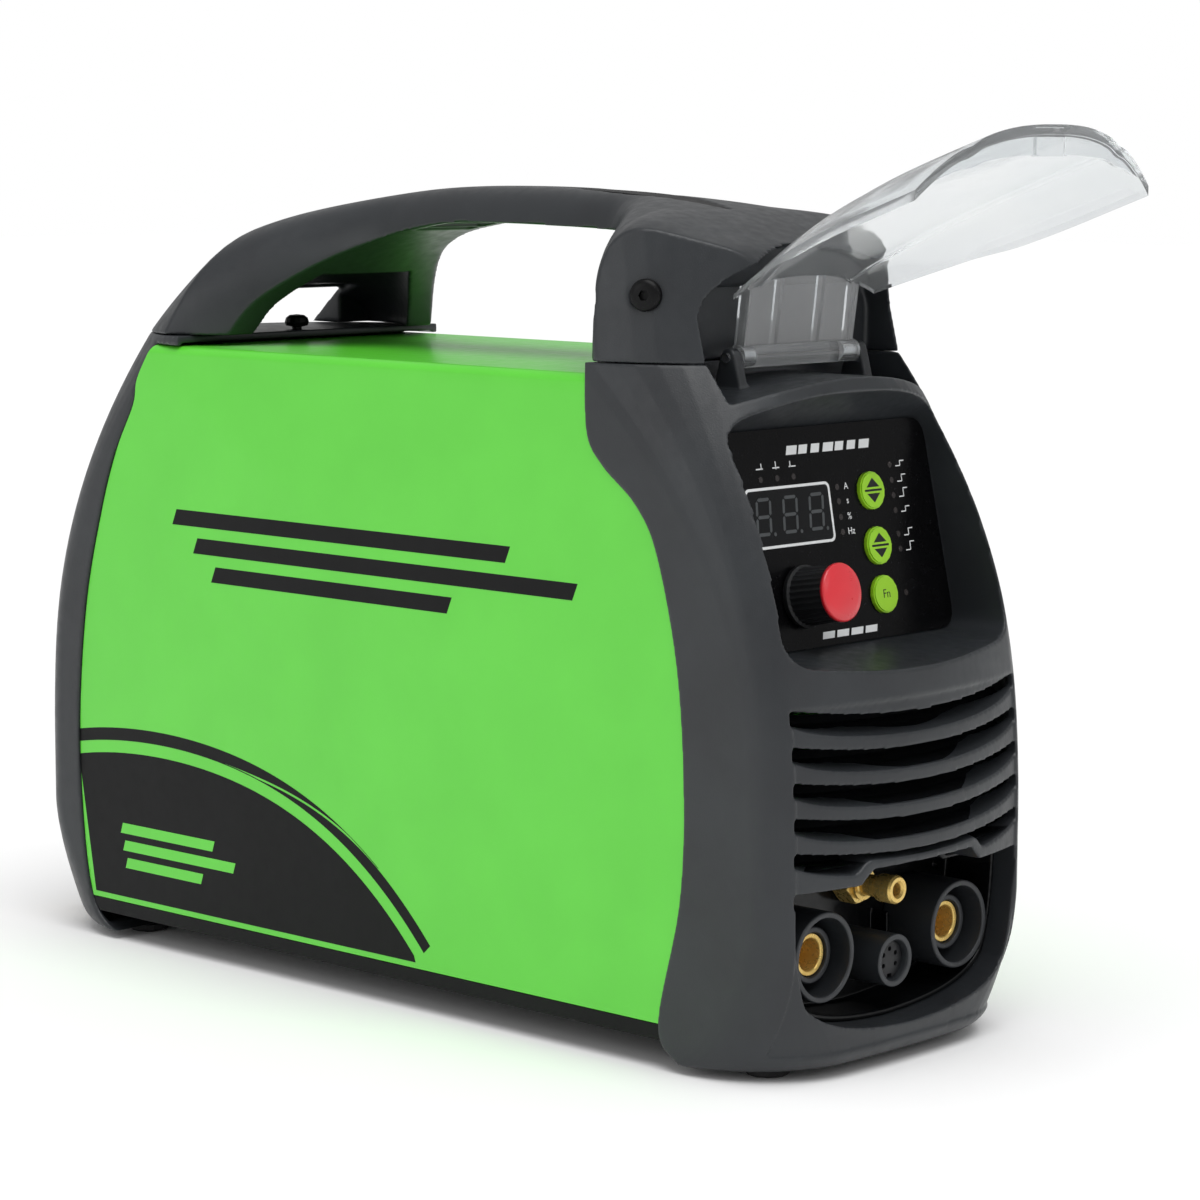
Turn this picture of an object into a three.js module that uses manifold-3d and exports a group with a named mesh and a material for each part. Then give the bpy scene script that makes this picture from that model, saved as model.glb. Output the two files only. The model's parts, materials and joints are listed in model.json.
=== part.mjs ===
// Inverter TIG welding machine: a green sheet-metal cover on a base tray between two charcoal plastic
// housings, a hollow arched handle on top, a tilted control panel under a clear flip-up cover, cooling
// louvres and a connector bay in front, and a fan, mains switch and inlets at the back.
// Millimetres. +X right, +Y to the back, +Z up. Heights start at the floor. Lengths start at mid-body,
// and the whole group is moved along Y at the end so that the origin is under the middle of its box.
import * as THREE from "three";
import { mergeVertices } from "three/addons/utils/BufferGeometryUtils.js";
import Module from "manifold-3d";

const wasm = await Module();
wasm.setup();

// ---------------------------------------------------------------- driving dimensions
const HALF_WIDTH = 81; // of the plastic housings
const FRONT_Y = -220; // front housing's face at its corners, low down
const REAR_Y = 228; // rear housing's face
const SEAM_Z = 280; // where the handle moulding sits on the housings
const HANDLE_RISE = 67; // top of the grip above the seam
const FOOT_HEIGHT = 3.5;
const WALL = 3; // plastic wall
const GAP = 0.4; // between pieces that touch
const END_LEAN = 35; // how far each end leans back at the seam
const LEAN_FROM_Z = 90;
const CORNER = 12; // plan radius of the housings' corners at mid-height
const BULGE = 13; // how far the front face bows out at its middle

const SHEET = 1.5; // metal cover
const COVER_INSET = 1.2; // metal cover's side inside the housings' side
const COVER_TOP_Z = SEAM_Z - 4.5;
const COVER_BOTTOM_Z = 18.5;
const TRAY_BOTTOM_Z = 12;

const GRIP_HALF_WIDTH = 27;
const GRIP_THICKNESS = 15.5;
const HANDLE_WALL = 4;
const LEG_THICKNESS = 16; // of the handle's rear legs

const PANEL_TILT = THREE.MathUtils.degToRad(10.5);
const PANEL_SETBACK = 39.4; // panel's middle behind the front corners
const PANEL_Z = SEAM_Z - 70;
const PANEL_HALF_HEIGHT = 44.2;
const PANEL_HALF_BOTTOM = HALF_WIDTH - 11.7;
const PANEL_HALF_TOP = HALF_WIDTH - 16;
const MEMBRANE = 1;
const BUTTON_RADIUS = 7.8;
const BUTTON_TRAVEL = 1.2;
const BUTTON_PROUD = 2; // button's crown above the membrane
const BUTTON_U = 25.3;
const BUTTON_PLACES = { select_button_upper: 15.7, select_button_lower: -6.9, function_button: -26.9 };
const DISPLAY = { u: -25.8, v: 9.2, width: 51.6, height: 24 };
const KNOB = { u: -25.8, v: -23.5, radius: 12.7, height: 20, shaftRadius: 3 };

const HINGE = { y: FRONT_Y + 60, z: SEAM_Z + 2, halfLength: 36, radius: 4.6, pinRadius: 2 };
const SHIELD = { thickness: 2.2, reach: 119, rootCrown: 8, crown: 24 };

const LOUVRE = { halfWidth: HALF_WIDTH - 10, firstZ: 144.5, pitch: 13.6, gap: 8.2, count: 5 };
const BAY = { halfWidth: HALF_WIDTH - 11, bottomZ: 17, topZ: 78, depth: 34, rise: 6 };
const SOCKET = {
  x: HALF_WIDTH - 38, z: 48,
  collarRadius: 18.3, collarWall: 2.6, ringRadius: 8.5, boreRadius: 6.5,
};
const SOCKET_FACE_Y = FRONT_Y + 5; // rim of the socket collars
const CONTROL_SOCKET = { z: 40, radius: 10.8, insertRadius: 7.6 };
const GAS_OUTLET = { z: 69, hexFlats: 15, nozzleRadius: 5.8, boreRadius: 2.8 };

const FAN = { size: 120, depth: 25, z: 108, rotorRadius: 54, hubRadius: 19, blades: 7 };
const SWITCH = { width: 24, height: 33, z: 205 };
const STUD_Y = REAR_Y - 88; // strap stud on the rear housing's top
const TOP_LIP = 98; // how far the rear housing's top reaches in over the cover
const INLET_X = 46;
const INLET_Z = 32;

// ---------------------------------------------------------------- materials
const paint = (color, roughness, metalness = 0) => (
  new THREE.MeshStandardMaterial({ color, roughness, metalness })
);
const charcoal = paint(0x46484a, 0.55);
const black = paint(0x101214, 0.25);
const satinBlack = paint(0x1b1c1e, 0.6);
const green = paint(0x5fd441, 0.35, 0.1);
const lime = paint(0x96d21e, 0.4);
const red = paint(0xdc323c, 0.3);
const brass = paint(0xc8a24a, 0.3, 1);
const steel = paint(0xa5a8ab, 0.35, 1);
const aluminium = paint(0xb9bcbf, 0.45, 1);
const rubber = paint(0x18181a, 0.9);
const board = paint(0x1d5c33, 0.5);
const copper = paint(0xb5693a, 0.35, 1);
const ferrite = paint(0x3a3a3c, 0.7);
const blueSleeve = paint(0x23508c, 0.4);
const hose = paint(0x202226, 0.5);
const clear = new THREE.MeshStandardMaterial({
  color: 0xeef2f4, roughness: 0.05, transparent: true, opacity: 0.3,
});

// ---------------------------------------------------------------- solids
// A closed geometry as a solid that can be joined and cut.
function solid(geometry) {
  const plain = geometry.index ? geometry.toNonIndexed() : geometry.clone();
  plain.deleteAttribute("normal");
  plain.deleteAttribute("uv");
  const merged = mergeVertices(plain, 1e-4);
  const mesh = new wasm.Mesh({
    numProp: 3,
    vertProperties: merged.attributes.position.array,
    triVerts: new Uint32Array(merged.index.array),
  });
  return new wasm.Manifold(mesh);
}

function geometryOf(made) {
  const mesh = made.getMesh();
  return new THREE.BufferGeometry()
    .setAttribute("position", new THREE.BufferAttribute(mesh.vertProperties, 3))
    .setIndex(new THREE.BufferAttribute(mesh.triVerts, 1));
}

const join = (...solids) => solids.reduce((whole, piece) => whole.add(piece));
const cut = (base, ...tools) => tools.reduce((left, tool) => left.subtract(tool), base);

function outline(points) {
  return new THREE.Shape(points.map(([a, b]) => new THREE.Vector2(a, b)));
}

function roundedOutline(halfWidth, halfHeight, radius, a = 0, b = 0) {
  const shape = new THREE.Shape();
  shape.absarc(a + halfWidth - radius, b + halfHeight - radius, radius, 0, Math.PI / 2);
  shape.absarc(a - halfWidth + radius, b + halfHeight - radius, radius, Math.PI / 2, Math.PI);
  shape.absarc(a - halfWidth + radius, b - halfHeight + radius, radius, Math.PI, 1.5 * Math.PI);
  shape.absarc(a + halfWidth - radius, b - halfHeight + radius, radius, 1.5 * Math.PI, 2 * Math.PI);
  return shape;
}

function disc(radius, a = 0, b = 0) {
  const shape = new THREE.Shape();
  shape.absarc(a, b, radius, 0, 2 * Math.PI);
  return shape;
}

// Evenly spaced values from one to another, both included.
function levels(from, to, count) {
  return Array.from({ length: count + 1 }, (_, i) => from + ((to - from) * i) / count);
}

function hexagon(radius, a, b) {
  const angles = levels(0, 2 * Math.PI, 6).slice(1);
  return outline(angles.map((angle) => [a + radius * Math.cos(angle), b + radius * Math.sin(angle)]));
}

function extruded(shape, length, basis, origin, segments) {
  const settings = { depth: length, bevelEnabled: false, curveSegments: segments };
  const geometry = new THREE.ExtrudeGeometry(shape, settings);
  const place = new THREE.Matrix4().makeBasis(...basis).setPosition(...origin);
  return solid(geometry.applyMatrix4(place));
}

const X = new THREE.Vector3(1, 0, 0);
const Y = new THREE.Vector3(0, 1, 0);
const Z = new THREE.Vector3(0, 0, 1);
const FORWARD = new THREE.Vector3(0, -1, 0);

// Shapes drawn in (y, z), (x, z) and (x, y), drawn out along the third axis.
const alongX = (shape, x0, x1, segments = 6) => extruded(shape, x1 - x0, [Y, Z, X], [x0, 0, 0], segments);
const alongY = (shape, y0, y1, segments = 6) => (
  extruded(shape, y1 - y0, [X, Z, FORWARD], [0, y1, 0], segments)
);
const alongZ = (shape, z0, z1, segments = 6) => extruded(shape, z1 - z0, [X, Y, Z], [0, 0, z0], segments);

function box(x0, x1, y0, y1, z0, z1) {
  return alongZ(outline([[x0, y0], [x1, y0], [x1, y1], [x0, y1]]), z0, z1);
}

// A closed solid through rings of equally many points, one ring above the other.
function loft(rings) {
  const count = rings[0].length;
  const positions = rings.flat(2);
  const triangles = [];
  const addCap = (ring, reverse) => {
    const centre = positions.length / 3;
    const middle = [0, 1, 2].map((axis) => rings[ring].reduce((sum, point) => sum + point[axis], 0) / count);
    positions.push(...middle);
    for (let i = 0; i < count; i++) {
      const a = ring * count + i;
      const b = ring * count + ((i + 1) % count);
      triangles.push(centre, reverse ? b : a, reverse ? a : b);
    }
  };
  for (let ring = 0; ring + 1 < rings.length; ring++) {
    for (let i = 0; i < count; i++) {
      const a = ring * count + i;
      const b = ring * count + ((i + 1) % count);
      triangles.push(a, b, b + count, a, b + count, a + count);
    }
  }
  addCap(0, true);
  addCap(rings.length - 1, false);
  const geometry = new THREE.BufferGeometry()
    .setAttribute("position", new THREE.Float32BufferAttribute(positions, 3))
    .setIndex(triangles);
  return solid(geometry);
}

// A plate that follows a grid of points, with its underside a thickness below along Z.
function curvedPlate(grid, thickness) {
  const lowered = grid.map((row) => row.map(([x, y, z]) => [x, y, z - thickness]));
  const rings = grid.map((row, i) => [...[...row].reverse(), ...lowered[i]]);
  return loft(rings);
}

function turned(profile, segments = 20) {
  return new THREE.LatheGeometry(profile.map(([r, h]) => new THREE.Vector2(r, h)), segments);
}

// A turned piece whose axis points forward, from its foot at (x, y, z).
function turnedForward(profile, x, y, z, segments) {
  return solid(turned(profile, segments).rotateX(Math.PI).translate(x, y, z));
}

function turnedBackward(profile, x, y, z, segments) {
  return solid(turned(profile, segments).translate(x, y, z));
}

function turnedUpward(profile, x, y, z, segments) {
  return solid(turned(profile, segments).rotateX(Math.PI / 2).translate(x, y, z));
}

// A round bar across the body; its ends can be given in either order.
function bar(radius, x0, x1, y, z, segments = 16) {
  return alongX(disc(radius, y, z), Math.min(x0, x1), Math.max(x0, x1), segments / 2);
}

// ---------------------------------------------------------------- outer form of the housings
// Setback of an end face at a height: upright low down, leaning in towards the seam.
function lean(z) {
  const share = Math.max(0, z - LEAN_FROM_Z) / (SEAM_Z - LEAN_FROM_Z);
  return END_LEAN * share ** 2;
}

const ROUNDING_TO_Z = 60; // below this the corners widen towards the floor
const ROUNDING_FROM_Z = 130; // above this they widen towards the seam

function cornerRadius(z) {
  const low = 38 * (Math.max(0, ROUNDING_TO_Z - z) / ROUNDING_TO_Z) ** 1.5;
  const high = 60 * (Math.max(0, z - ROUNDING_FROM_Z) / (SEAM_Z - ROUNDING_FROM_Z)) ** 2.2;
  return CORNER + low + high;
}

const BOTTOM_FILLET = 8;

function bottomFillet(z) {
  const below = Math.max(0, FOOT_HEIGHT + BOTTOM_FILLET - z);
  return BOTTOM_FILLET - Math.sqrt(BOTTOM_FILLET ** 2 - below ** 2);
}

function bulge(z) {
  const low = Math.min(1, (z + 10) / 50);
  const high = Math.min(1, Math.max(0.35, (SEAM_Z + 20 - z) / 120));
  return BULGE * low * high;
}

const CORNER_STEPS = 5;
const FACE_STEPS = 6;

// One level of an end's outer form: side, rounded corner, end face, corner, side. inset moves it inwards.
function endRing(z, facing, innerY, inset) {
  const side = HALF_WIDTH - inset;
  const radius = Math.max(1, cornerRadius(z) - inset);
  const endY = (facing < 0 ? -FRONT_Y : REAR_Y) - lean(z) - bottomFillet(z) - inset;
  const bow = facing < 0 ? bulge(z) : 0;
  const half = [];
  for (let i = 0; i <= CORNER_STEPS; i++) {
    const angle = (i / CORNER_STEPS) * (Math.PI / 2);
    half.push([side - radius + radius * Math.cos(angle), endY - radius + radius * Math.sin(angle)]);
  }
  for (let i = 1; i <= FACE_STEPS / 2; i++) {
    half.push([(side - radius) * (1 - i / (FACE_STEPS / 2)), endY]);
  }
  const bowed = half.map(([x, y]) => [x, y + bow * (1 - (x / HALF_WIDTH) ** 2)]);
  const rightHalf = [[side, Math.abs(innerY)], ...bowed];
  const leftHalf = rightHalf.slice(0, -1).reverse().map(([x, y]) => [-x, y]);
  const ring = [...rightHalf, ...leftHalf].map(([x, y]) => [x, facing * y, z]);
  return facing < 0 ? ring.reverse() : ring;
}

const FRONT_INNER_Y = FRONT_Y + 112; // where the front form ends inside the body
const REAR_INNER_Y = REAR_Y - 110;

function endForm(facing, inset, bottomZ, topZ) {
  const innerY = facing < 0 ? FRONT_INNER_Y : REAR_INNER_Y;
  const low = levels(bottomZ, bottomZ + 12, 2);
  const rest = levels(bottomZ + 12, topZ, 9).slice(1);
  return loft([...low, ...rest].map((z) => endRing(z, facing, innerY, inset)));
}

// Edge between a housing and the metal cover, as (distance in from the end, height), top to bottom.
const FRONT_EDGE = [
  [101, SEAM_Z], [100, SEAM_Z - 28], [91, SEAM_Z - 41], [73.5, SEAM_Z - 55], [62, SEAM_Z - 74],
  [51, SEAM_Z - 118], [47, 112], [49, 68], [60, 18.5], [50, 4.5], [38, FOOT_HEIGHT],
];
const REAR_EDGE = [
  [82, SEAM_Z], [79, SEAM_Z - 5], [69, SEAM_Z - 20], [66, SEAM_Z - 32], [54, SEAM_Z - 53],
  [43, SEAM_Z - 81], [31, SEAM_Z - 125], [25, 100], [27, 50], [33, 18.5], [44, 6], [56, FOOT_HEIGHT],
];

// The edge as a smooth line of (y, z), moved off by an allowance away from the end.
function edgeLine(facing, away, fromZ = FOOT_HEIGHT) {
  const edge = facing < 0 ? FRONT_EDGE : REAR_EDGE;
  const endY = facing < 0 ? FRONT_Y : REAR_Y;
  const points = edge.map(([inward, z]) => new THREE.Vector2(endY - facing * (inward + away), z));
  const line = new THREE.SplineCurve(points).getPoints(Math.round(1.5 * edge.length));
  return line.filter((point) => point.y >= fromZ).map((point) => [point.x, point.y]);
}

const FAR = 400;

// Everything between an end and its edge line, as a slab across the body.
function endSlab(facing, away) {
  const line = edgeLine(facing, away);
  const beyond = facing * FAR;
  const shape = outline([[line[0][0], FAR], ...line, [line.at(-1)[0], -1], [beyond, -1], [beyond, FAR]]);
  return alongX(shape, -FAR, FAR);
}

// ---------------------------------------------------------------- control panel's own axes
// u runs across, v up the tilted panel and n out of it, from the middle of its face.
const PANEL_UP = new THREE.Vector3(0, Math.sin(PANEL_TILT), Math.cos(PANEL_TILT));
const PANEL_OUT = new THREE.Vector3(0, -Math.cos(PANEL_TILT), Math.sin(PANEL_TILT));
const PANEL_ORIGIN = new THREE.Vector3(0, FRONT_Y + PANEL_SETBACK, PANEL_Z);

function panelPoint(u, v, n) {
  return PANEL_ORIGIN.clone().addScaledVector(X, u).addScaledVector(PANEL_UP, v).addScaledVector(PANEL_OUT, n);
}

function onPanel(shape, n0, n1, segments = 6) {
  return extruded(shape, n1 - n0, [X, PANEL_UP, PANEL_OUT], panelPoint(0, 0, n0).toArray(), segments);
}

function towards(from, to, distance) {
  return from.clone().add(to.clone().sub(from).setLength(distance));
}

// Points round a four-sided outline with rounded corners, whose top and bottom edges may bow outwards.
function panelOutline({ halfBottom, halfTop, bottom, top, radius, topBow = 0, bottomBow = 0 }) {
  const corners = [
    new THREE.Vector2(halfBottom, bottom),
    new THREE.Vector2(halfTop, top),
    new THREE.Vector2(-halfTop, top),
    new THREE.Vector2(-halfBottom, bottom),
  ];
  const points = corners.flatMap((corner, i) => {
    const before = corners[(i + 3) % 4];
    const after = corners[(i + 1) % 4];
    const arcEnd = towards(corner, after, radius);
    const arc = new THREE.QuadraticBezierCurve(towards(corner, before, radius), corner, arcEnd);
    const edge = new THREE.LineCurve(arcEnd, towards(after, corner, radius));
    return [...arc.getPoints(4), ...edge.getPoints(6).slice(1, -1)];
  });
  return points.map((point) => {
    const bow = 1 - Math.min(1, (point.x / halfBottom) ** 2);
    const lift = point.y > 0 ? topBow * (point.y / top) : -bottomBow * (point.y / bottom);
    return [point.x, point.y + bow * lift];
  });
}

const RECESS_FLOOR = {
  halfBottom: PANEL_HALF_BOTTOM + 0.5, halfTop: PANEL_HALF_TOP + 0.5,
  bottom: -PANEL_HALF_HEIGHT - 0.5, top: PANEL_HALF_HEIGHT + 0.5, radius: 9,
};
const RECESS_MOUTH_N = 44; // where the mouth's own outline is given
const RECESS_MOUTH = {
  halfBottom: PANEL_HALF_BOTTOM + 2.2, halfTop: PANEL_HALF_TOP + 2,
  bottom: -PANEL_HALF_HEIGHT - 7.8, top: PANEL_HALF_HEIGHT + 12.8, radius: 16, topBow: 7, bottomBow: 7,
};
const RECESS_REACH_N = 75; // past the housing's surface

// The control recess as a solid, opening outwards, with its walls and floor moved out by an allowance.
function recessSolid(away) {
  const grown = (outlineSizes) => ({
    ...outlineSizes,
    halfBottom: outlineSizes.halfBottom + away,
    halfTop: outlineSizes.halfTop + away,
    bottom: outlineSizes.bottom - away,
    top: outlineSizes.top + away,
  });
  const floor = panelOutline(grown(RECESS_FLOOR));
  const mouth = panelOutline(grown(RECESS_MOUTH));
  const ringAt = (n) => floor.map(([u, v], i) => {
    const share = n / RECESS_MOUTH_N;
    return panelPoint(u + (mouth[i][0] - u) * share, v + (mouth[i][1] - v) * share, n).toArray();
  });
  return loft([ringAt(-away), ringAt(RECESS_REACH_N)]);
}

// ---------------------------------------------------------------- hinge pocket in the head
const POCKET = {
  halfWidth: HALF_WIDTH - 21,
  floorZ: SEAM_Z - 6, floorDrop: 9,
  archZ: SEAM_Z + 16, archRise: 30,
};
const POCKET_BACK_Y = HINGE.y + 12;

// The scoop that the clear cover's hinge sits in, cut into both the head and the front housing.
function pocketSolid(away) {
  const half = POCKET.halfWidth + away;
  const floorAt = (x) => POCKET.floorZ - away - POCKET.floorDrop * (x / half) ** 2;
  const floor = levels(-half, half, 12).map((x) => [x, floorAt(x)]);
  const arch = levels(0, Math.PI, 16).map((angle) => [
    half * Math.cos(angle),
    POCKET.archZ + (POCKET.archRise + away) * Math.sin(angle),
  ]);
  const front = outline([...floor, ...arch]);
  const side = outline([
    [-FAR, 0], [POCKET_BACK_Y + away, 0], [POCKET_BACK_Y + away, SEAM_Z + 12],
    [POCKET_BACK_Y + away - 18, SEAM_Z + 47], [POCKET_BACK_Y + away - 18, FAR], [-FAR, FAR],
  ]);
  return alongY(front, -FAR, 0).intersect(alongX(side, -FAR, FAR));
}

// ---------------------------------------------------------------- connector bay
function bayShape(away) {
  const half = BAY.halfWidth + away;
  const bottom = BAY.bottomZ - away;
  const top = BAY.topZ + away;
  const shape = new THREE.Shape();
  shape.moveTo(0, bottom);
  shape.quadraticCurveTo(half * 0.72, bottom + 1, half * 0.9, bottom + 15);
  shape.quadraticCurveTo(half * 0.99, bottom + 26, half + 1, top);
  shape.lineTo(38 + away, top);
  shape.lineTo(31 + away, top + BAY.rise);
  shape.lineTo(-31 - away, top + BAY.rise);
  shape.lineTo(-38 - away, top);
  shape.lineTo(-half - 1, top);
  shape.quadraticCurveTo(-half * 0.99, bottom + 26, -half * 0.9, bottom + 15);
  shape.quadraticCurveTo(-half * 0.72, bottom + 1, 0, bottom);
  return shape;
}

const BAY_BACK_Y = FRONT_Y + BAY.depth;
const PLATE = 2.4; // connector panel's wall
const PLATE_FRONT_Y = BAY_BACK_Y - PLATE;

// ---------------------------------------------------------------- housings
const BOSS_RADIUS = 3;
const BOARD_N = -10.2; // front of the control board behind the panel
const BOSSES = [-1, 1].flatMap((side) => [
  [side * (PANEL_HALF_BOTTOM - 7.3), -PANEL_HALF_HEIGHT + 6.2],
  [side * (PANEL_HALF_TOP - 9), PANEL_HALF_HEIGHT - 6.2],
]);

function panelOpenings() {
  const display = onPanel(roundedOutline(24.6, 11, 1, DISPLAY.u, DISPLAY.v), -8, 1);
  const shaft = onPanel(disc(5, KNOB.u, KNOB.v), -8, 1);
  const buttons = Object.values(BUTTON_PLACES).map((v) => (
    onPanel(disc(BUTTON_RADIUS + 0.5, BUTTON_U, v), -8, 1)
  ));
  return [display, shaft, ...buttons];
}

function louvreSlots() {
  return Array.from({ length: LOUVRE.count }, (_, i) => {
    const top = LOUVRE.firstZ - i * LOUVRE.pitch;
    const bottom = top - LOUVRE.gap;
    const rise = 5; // the slot climbs as it goes in
    const frontY = FRONT_Y - BULGE - 5;
    const backY = FRONT_Y + 8;
    const shape = outline([
      [frontY, bottom - 2], [backY, bottom + rise], [backY, top + rise], [frontY, top - 2],
    ]);
    return alongX(shape, -LOUVRE.halfWidth, LOUVRE.halfWidth);
  });
}

// A lip inside a housing's edge that the metal cover lies on: a root on the housing's wall, and the
// lip itself.
function coverLip(facing) {
  const lipTop = COVER_TOP_Z - SHEET - 5;
  const lipBottom = COVER_BOTTOM_Z + 1;
  const inner = endForm(facing, COVER_INSET + SHEET + 2.6, FOOT_HEIGHT, SEAM_Z);
  const ring = (inset, from, to) => {
    const band = endSlab(facing, to).subtract(endSlab(facing, from));
    return endForm(facing, inset, lipBottom, lipTop).subtract(inner).intersect(band);
  };
  return join(ring(WALL - 1, -6, -1), ring(COVER_INSET + SHEET + 0.6, -6, 7));
}

function frontHousing() {
  const outer = endForm(-1, 0, FOOT_HEIGHT, SEAM_Z).intersect(endSlab(-1, 0));
  const louvreSide = LOUVRE.halfWidth + 3;
  const louvreBack = box(-louvreSide, louvreSide, -FAR, FRONT_Y + 4, BAY.topZ, PANEL_Z - 58);
  const bayBlock = alongY(bayShape(WALL), -FAR, BAY_BACK_Y);
  const hollow = cut(
    endForm(-1, WALL, FOOT_HEIGHT + WALL, SEAM_Z - WALL),
    recessSolid(WALL), pocketSolid(WALL), louvreBack, bayBlock,
  );
  const bosses = BOSSES.map(([u, v]) => onPanel(disc(BOSS_RADIUS, u, v), BOARD_N + GAP, -WALL / 2));
  const shell = cut(
    outer, hollow, recessSolid(0), pocketSolid(0),
    alongY(bayShape(0), -FAR, BAY_BACK_Y + 1), ...louvreSlots(), ...panelOpenings(),
  );
  return join(shell, coverLip(-1), ...bosses);
}

function rearLouvres() {
  const slotHalf = FAN.size / 2 - 4;
  return Array.from({ length: 8 }, (_, i) => {
    const z = FAN.z - slotHalf + 4 + i * 14.4;
    const shape = outline([[FAR, z], [FAR, z + 7], [REAR_Y - 30, z + 10], [REAR_Y - 30, z + 3]]);
    return alongX(shape, -slotHalf, slotHalf);
  });
}

function rearHousing() {
  const lip = box(-FAR, FAR, REAR_Y - TOP_LIP, REAR_Y - TOP_LIP + 30, COVER_TOP_Z + GAP, SEAM_Z + 1);
  const outer = endForm(1, 0, FOOT_HEIGHT, SEAM_Z).intersect(join(endSlab(1, 0), lip));
  const hollow = endForm(1, WALL, FOOT_HEIGHT + WALL, SEAM_Z - WALL);
  const switchShape = roundedOutline(SWITCH.width / 2 + 0.5, SWITCH.height / 2 + 0.5, 2, 0, SWITCH.z);
  const switchHole = alongY(switchShape, 0, FAR);
  const glandHole = alongY(disc(8.6, INLET_X, INLET_Z), 0, FAR);
  const gasHole = alongY(disc(5.6, -INLET_X, INLET_Z), 0, FAR);
  const studHole = alongZ(disc(2.6, 0, STUD_Y), SEAM_Z - 20, FAR);
  return join(cut(outer, hollow, ...rearLouvres(), switchHole, glandHole, gasHole, studHole), coverLip(1));
}

// ---------------------------------------------------------------- sheet-metal cover and base tray
function metalCover() {
  const half = HALF_WIDTH - COVER_INSET;
  const bend = 4;
  const hoop = (inset) => {
    const shape = new THREE.Shape();
    shape.moveTo(half - inset, COVER_BOTTOM_Z - inset);
    shape.lineTo(half - inset, COVER_TOP_Z - bend);
    shape.absarc(half - bend, COVER_TOP_Z - bend, bend - inset, 0, Math.PI / 2);
    shape.absarc(bend - half, COVER_TOP_Z - bend, bend - inset, Math.PI / 2, Math.PI);
    shape.lineTo(inset - half, COVER_BOTTOM_Z - inset);
    return alongY(shape, FRONT_Y + 20, REAR_Y - 10, 2);
  };
  return cut(hoop(0), hoop(SHEET), endSlab(-1, GAP), endSlab(1, GAP));
}

const TRAY_TOP_Z = COVER_BOTTOM_Z - GAP;

function baseTray() {
  const half = HALF_WIDTH - COVER_INSET;
  const slab = box(-half, half, FRONT_Y + 20, REAR_Y - 10, TRAY_BOTTOM_Z, TRAY_TOP_Z);
  const floor = cut(slab, endSlab(-1, GAP), endSlab(1, GAP));
  const tongues = box(-half + 6, half - 6, BAY_BACK_Y + 3, REAR_Y - 30, TRAY_BOTTOM_Z, TRAY_TOP_Z);
  const vents = levels(-50, 50, 4).map((y) => alongZ(roundedOutline(40, 4, 3.9, 0, y), 0, 30, 2));
  return cut(join(floor, tongues), ...vents);
}

// ---------------------------------------------------------------- handle
const PEAK_Y = (FRONT_Y + REAR_Y) / 2 - 24;

// Top of the handle as (y, height above the seam), front to back.
const HANDLE_TOP = [
  [FRONT_Y + END_LEAN - 1, -1], [FRONT_Y + END_LEAN + 3, 18], [FRONT_Y + 47, 40], [FRONT_Y + 66, HANDLE_RISE - 17],
  [FRONT_Y + 95, HANDLE_RISE - 8], [FRONT_Y + 135, HANDLE_RISE - 2.5], [PEAK_Y, HANDLE_RISE],
  [REAR_Y - 186, HANDLE_RISE - 2], [REAR_Y - 121, HANDLE_RISE - 11.5], [REAR_Y - 87, HANDLE_RISE - 22],
  [REAR_Y - 56, HANDLE_RISE - 38], [REAR_Y - 38, HANDLE_RISE - 58], [REAR_Y - 34, -1],
];

function handleTopLine(lower) {
  const points = HANDLE_TOP.map(([y, rise]) => new THREE.Vector2(y, SEAM_Z + rise - lower));
  return new THREE.SplineCurve(points).getPoints(3 * HANDLE_TOP.length).map((point) => [point.x, point.y]);
}

// The opening for the fingers as (y, z), from its front foot over to its rear foot.
function fingerGapShape() {
  const grip = SEAM_Z + HANDLE_RISE - GRIP_THICKNESS;
  const points = [
    [FRONT_Y + 101, SEAM_Z], [FRONT_Y + 98, SEAM_Z + 20], [FRONT_Y + 96, SEAM_Z + 32], [FRONT_Y + 104, grip - 12],
    [FRONT_Y + 125, grip - 3], [PEAK_Y + 20, grip], [REAR_Y - 190, grip - 3.5], [REAR_Y - 165, grip - 10],
    [REAR_Y - 143, grip - 20], [REAR_Y - 122, grip - 36], [REAR_Y - 112, SEAM_Z],
  ];
  const line = new THREE.SplineCurve(points.map(([y, z]) => new THREE.Vector2(y, z))).getPoints(30);
  return outline([[FRONT_Y + 101, SEAM_Z - 30], ...line.map((p) => [p.x, p.y]), [REAR_Y - 112, SEAM_Z - 30]]);
}

const ease = (share) => THREE.MathUtils.smoothstep(share, 0, 1);
const rearShare = (y) => ease((y - (REAR_Y - 178)) / 108); // 0 along the grip, 1 at the rear legs

// Half of the handle's width along its length: wide head, narrow grip, wide rear.
function handleHalfWidth(y) {
  const head = 1 - ease((y - (FRONT_Y + 92)) / 52);
  return GRIP_HALF_WIDTH + (HALF_WIDTH - GRIP_HALF_WIDTH) * Math.max(head, rearShare(y));
}

function heightAt(y, line) {
  const next = Math.max(1, line.findIndex(([pointY]) => pointY >= y));
  const [y0, z0] = line[next - 1];
  const [y1, z1] = line[next];
  return THREE.MathUtils.mapLinear(y, y0, y1, z0, z1);
}

const SECTION_STEPS = 14;

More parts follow.
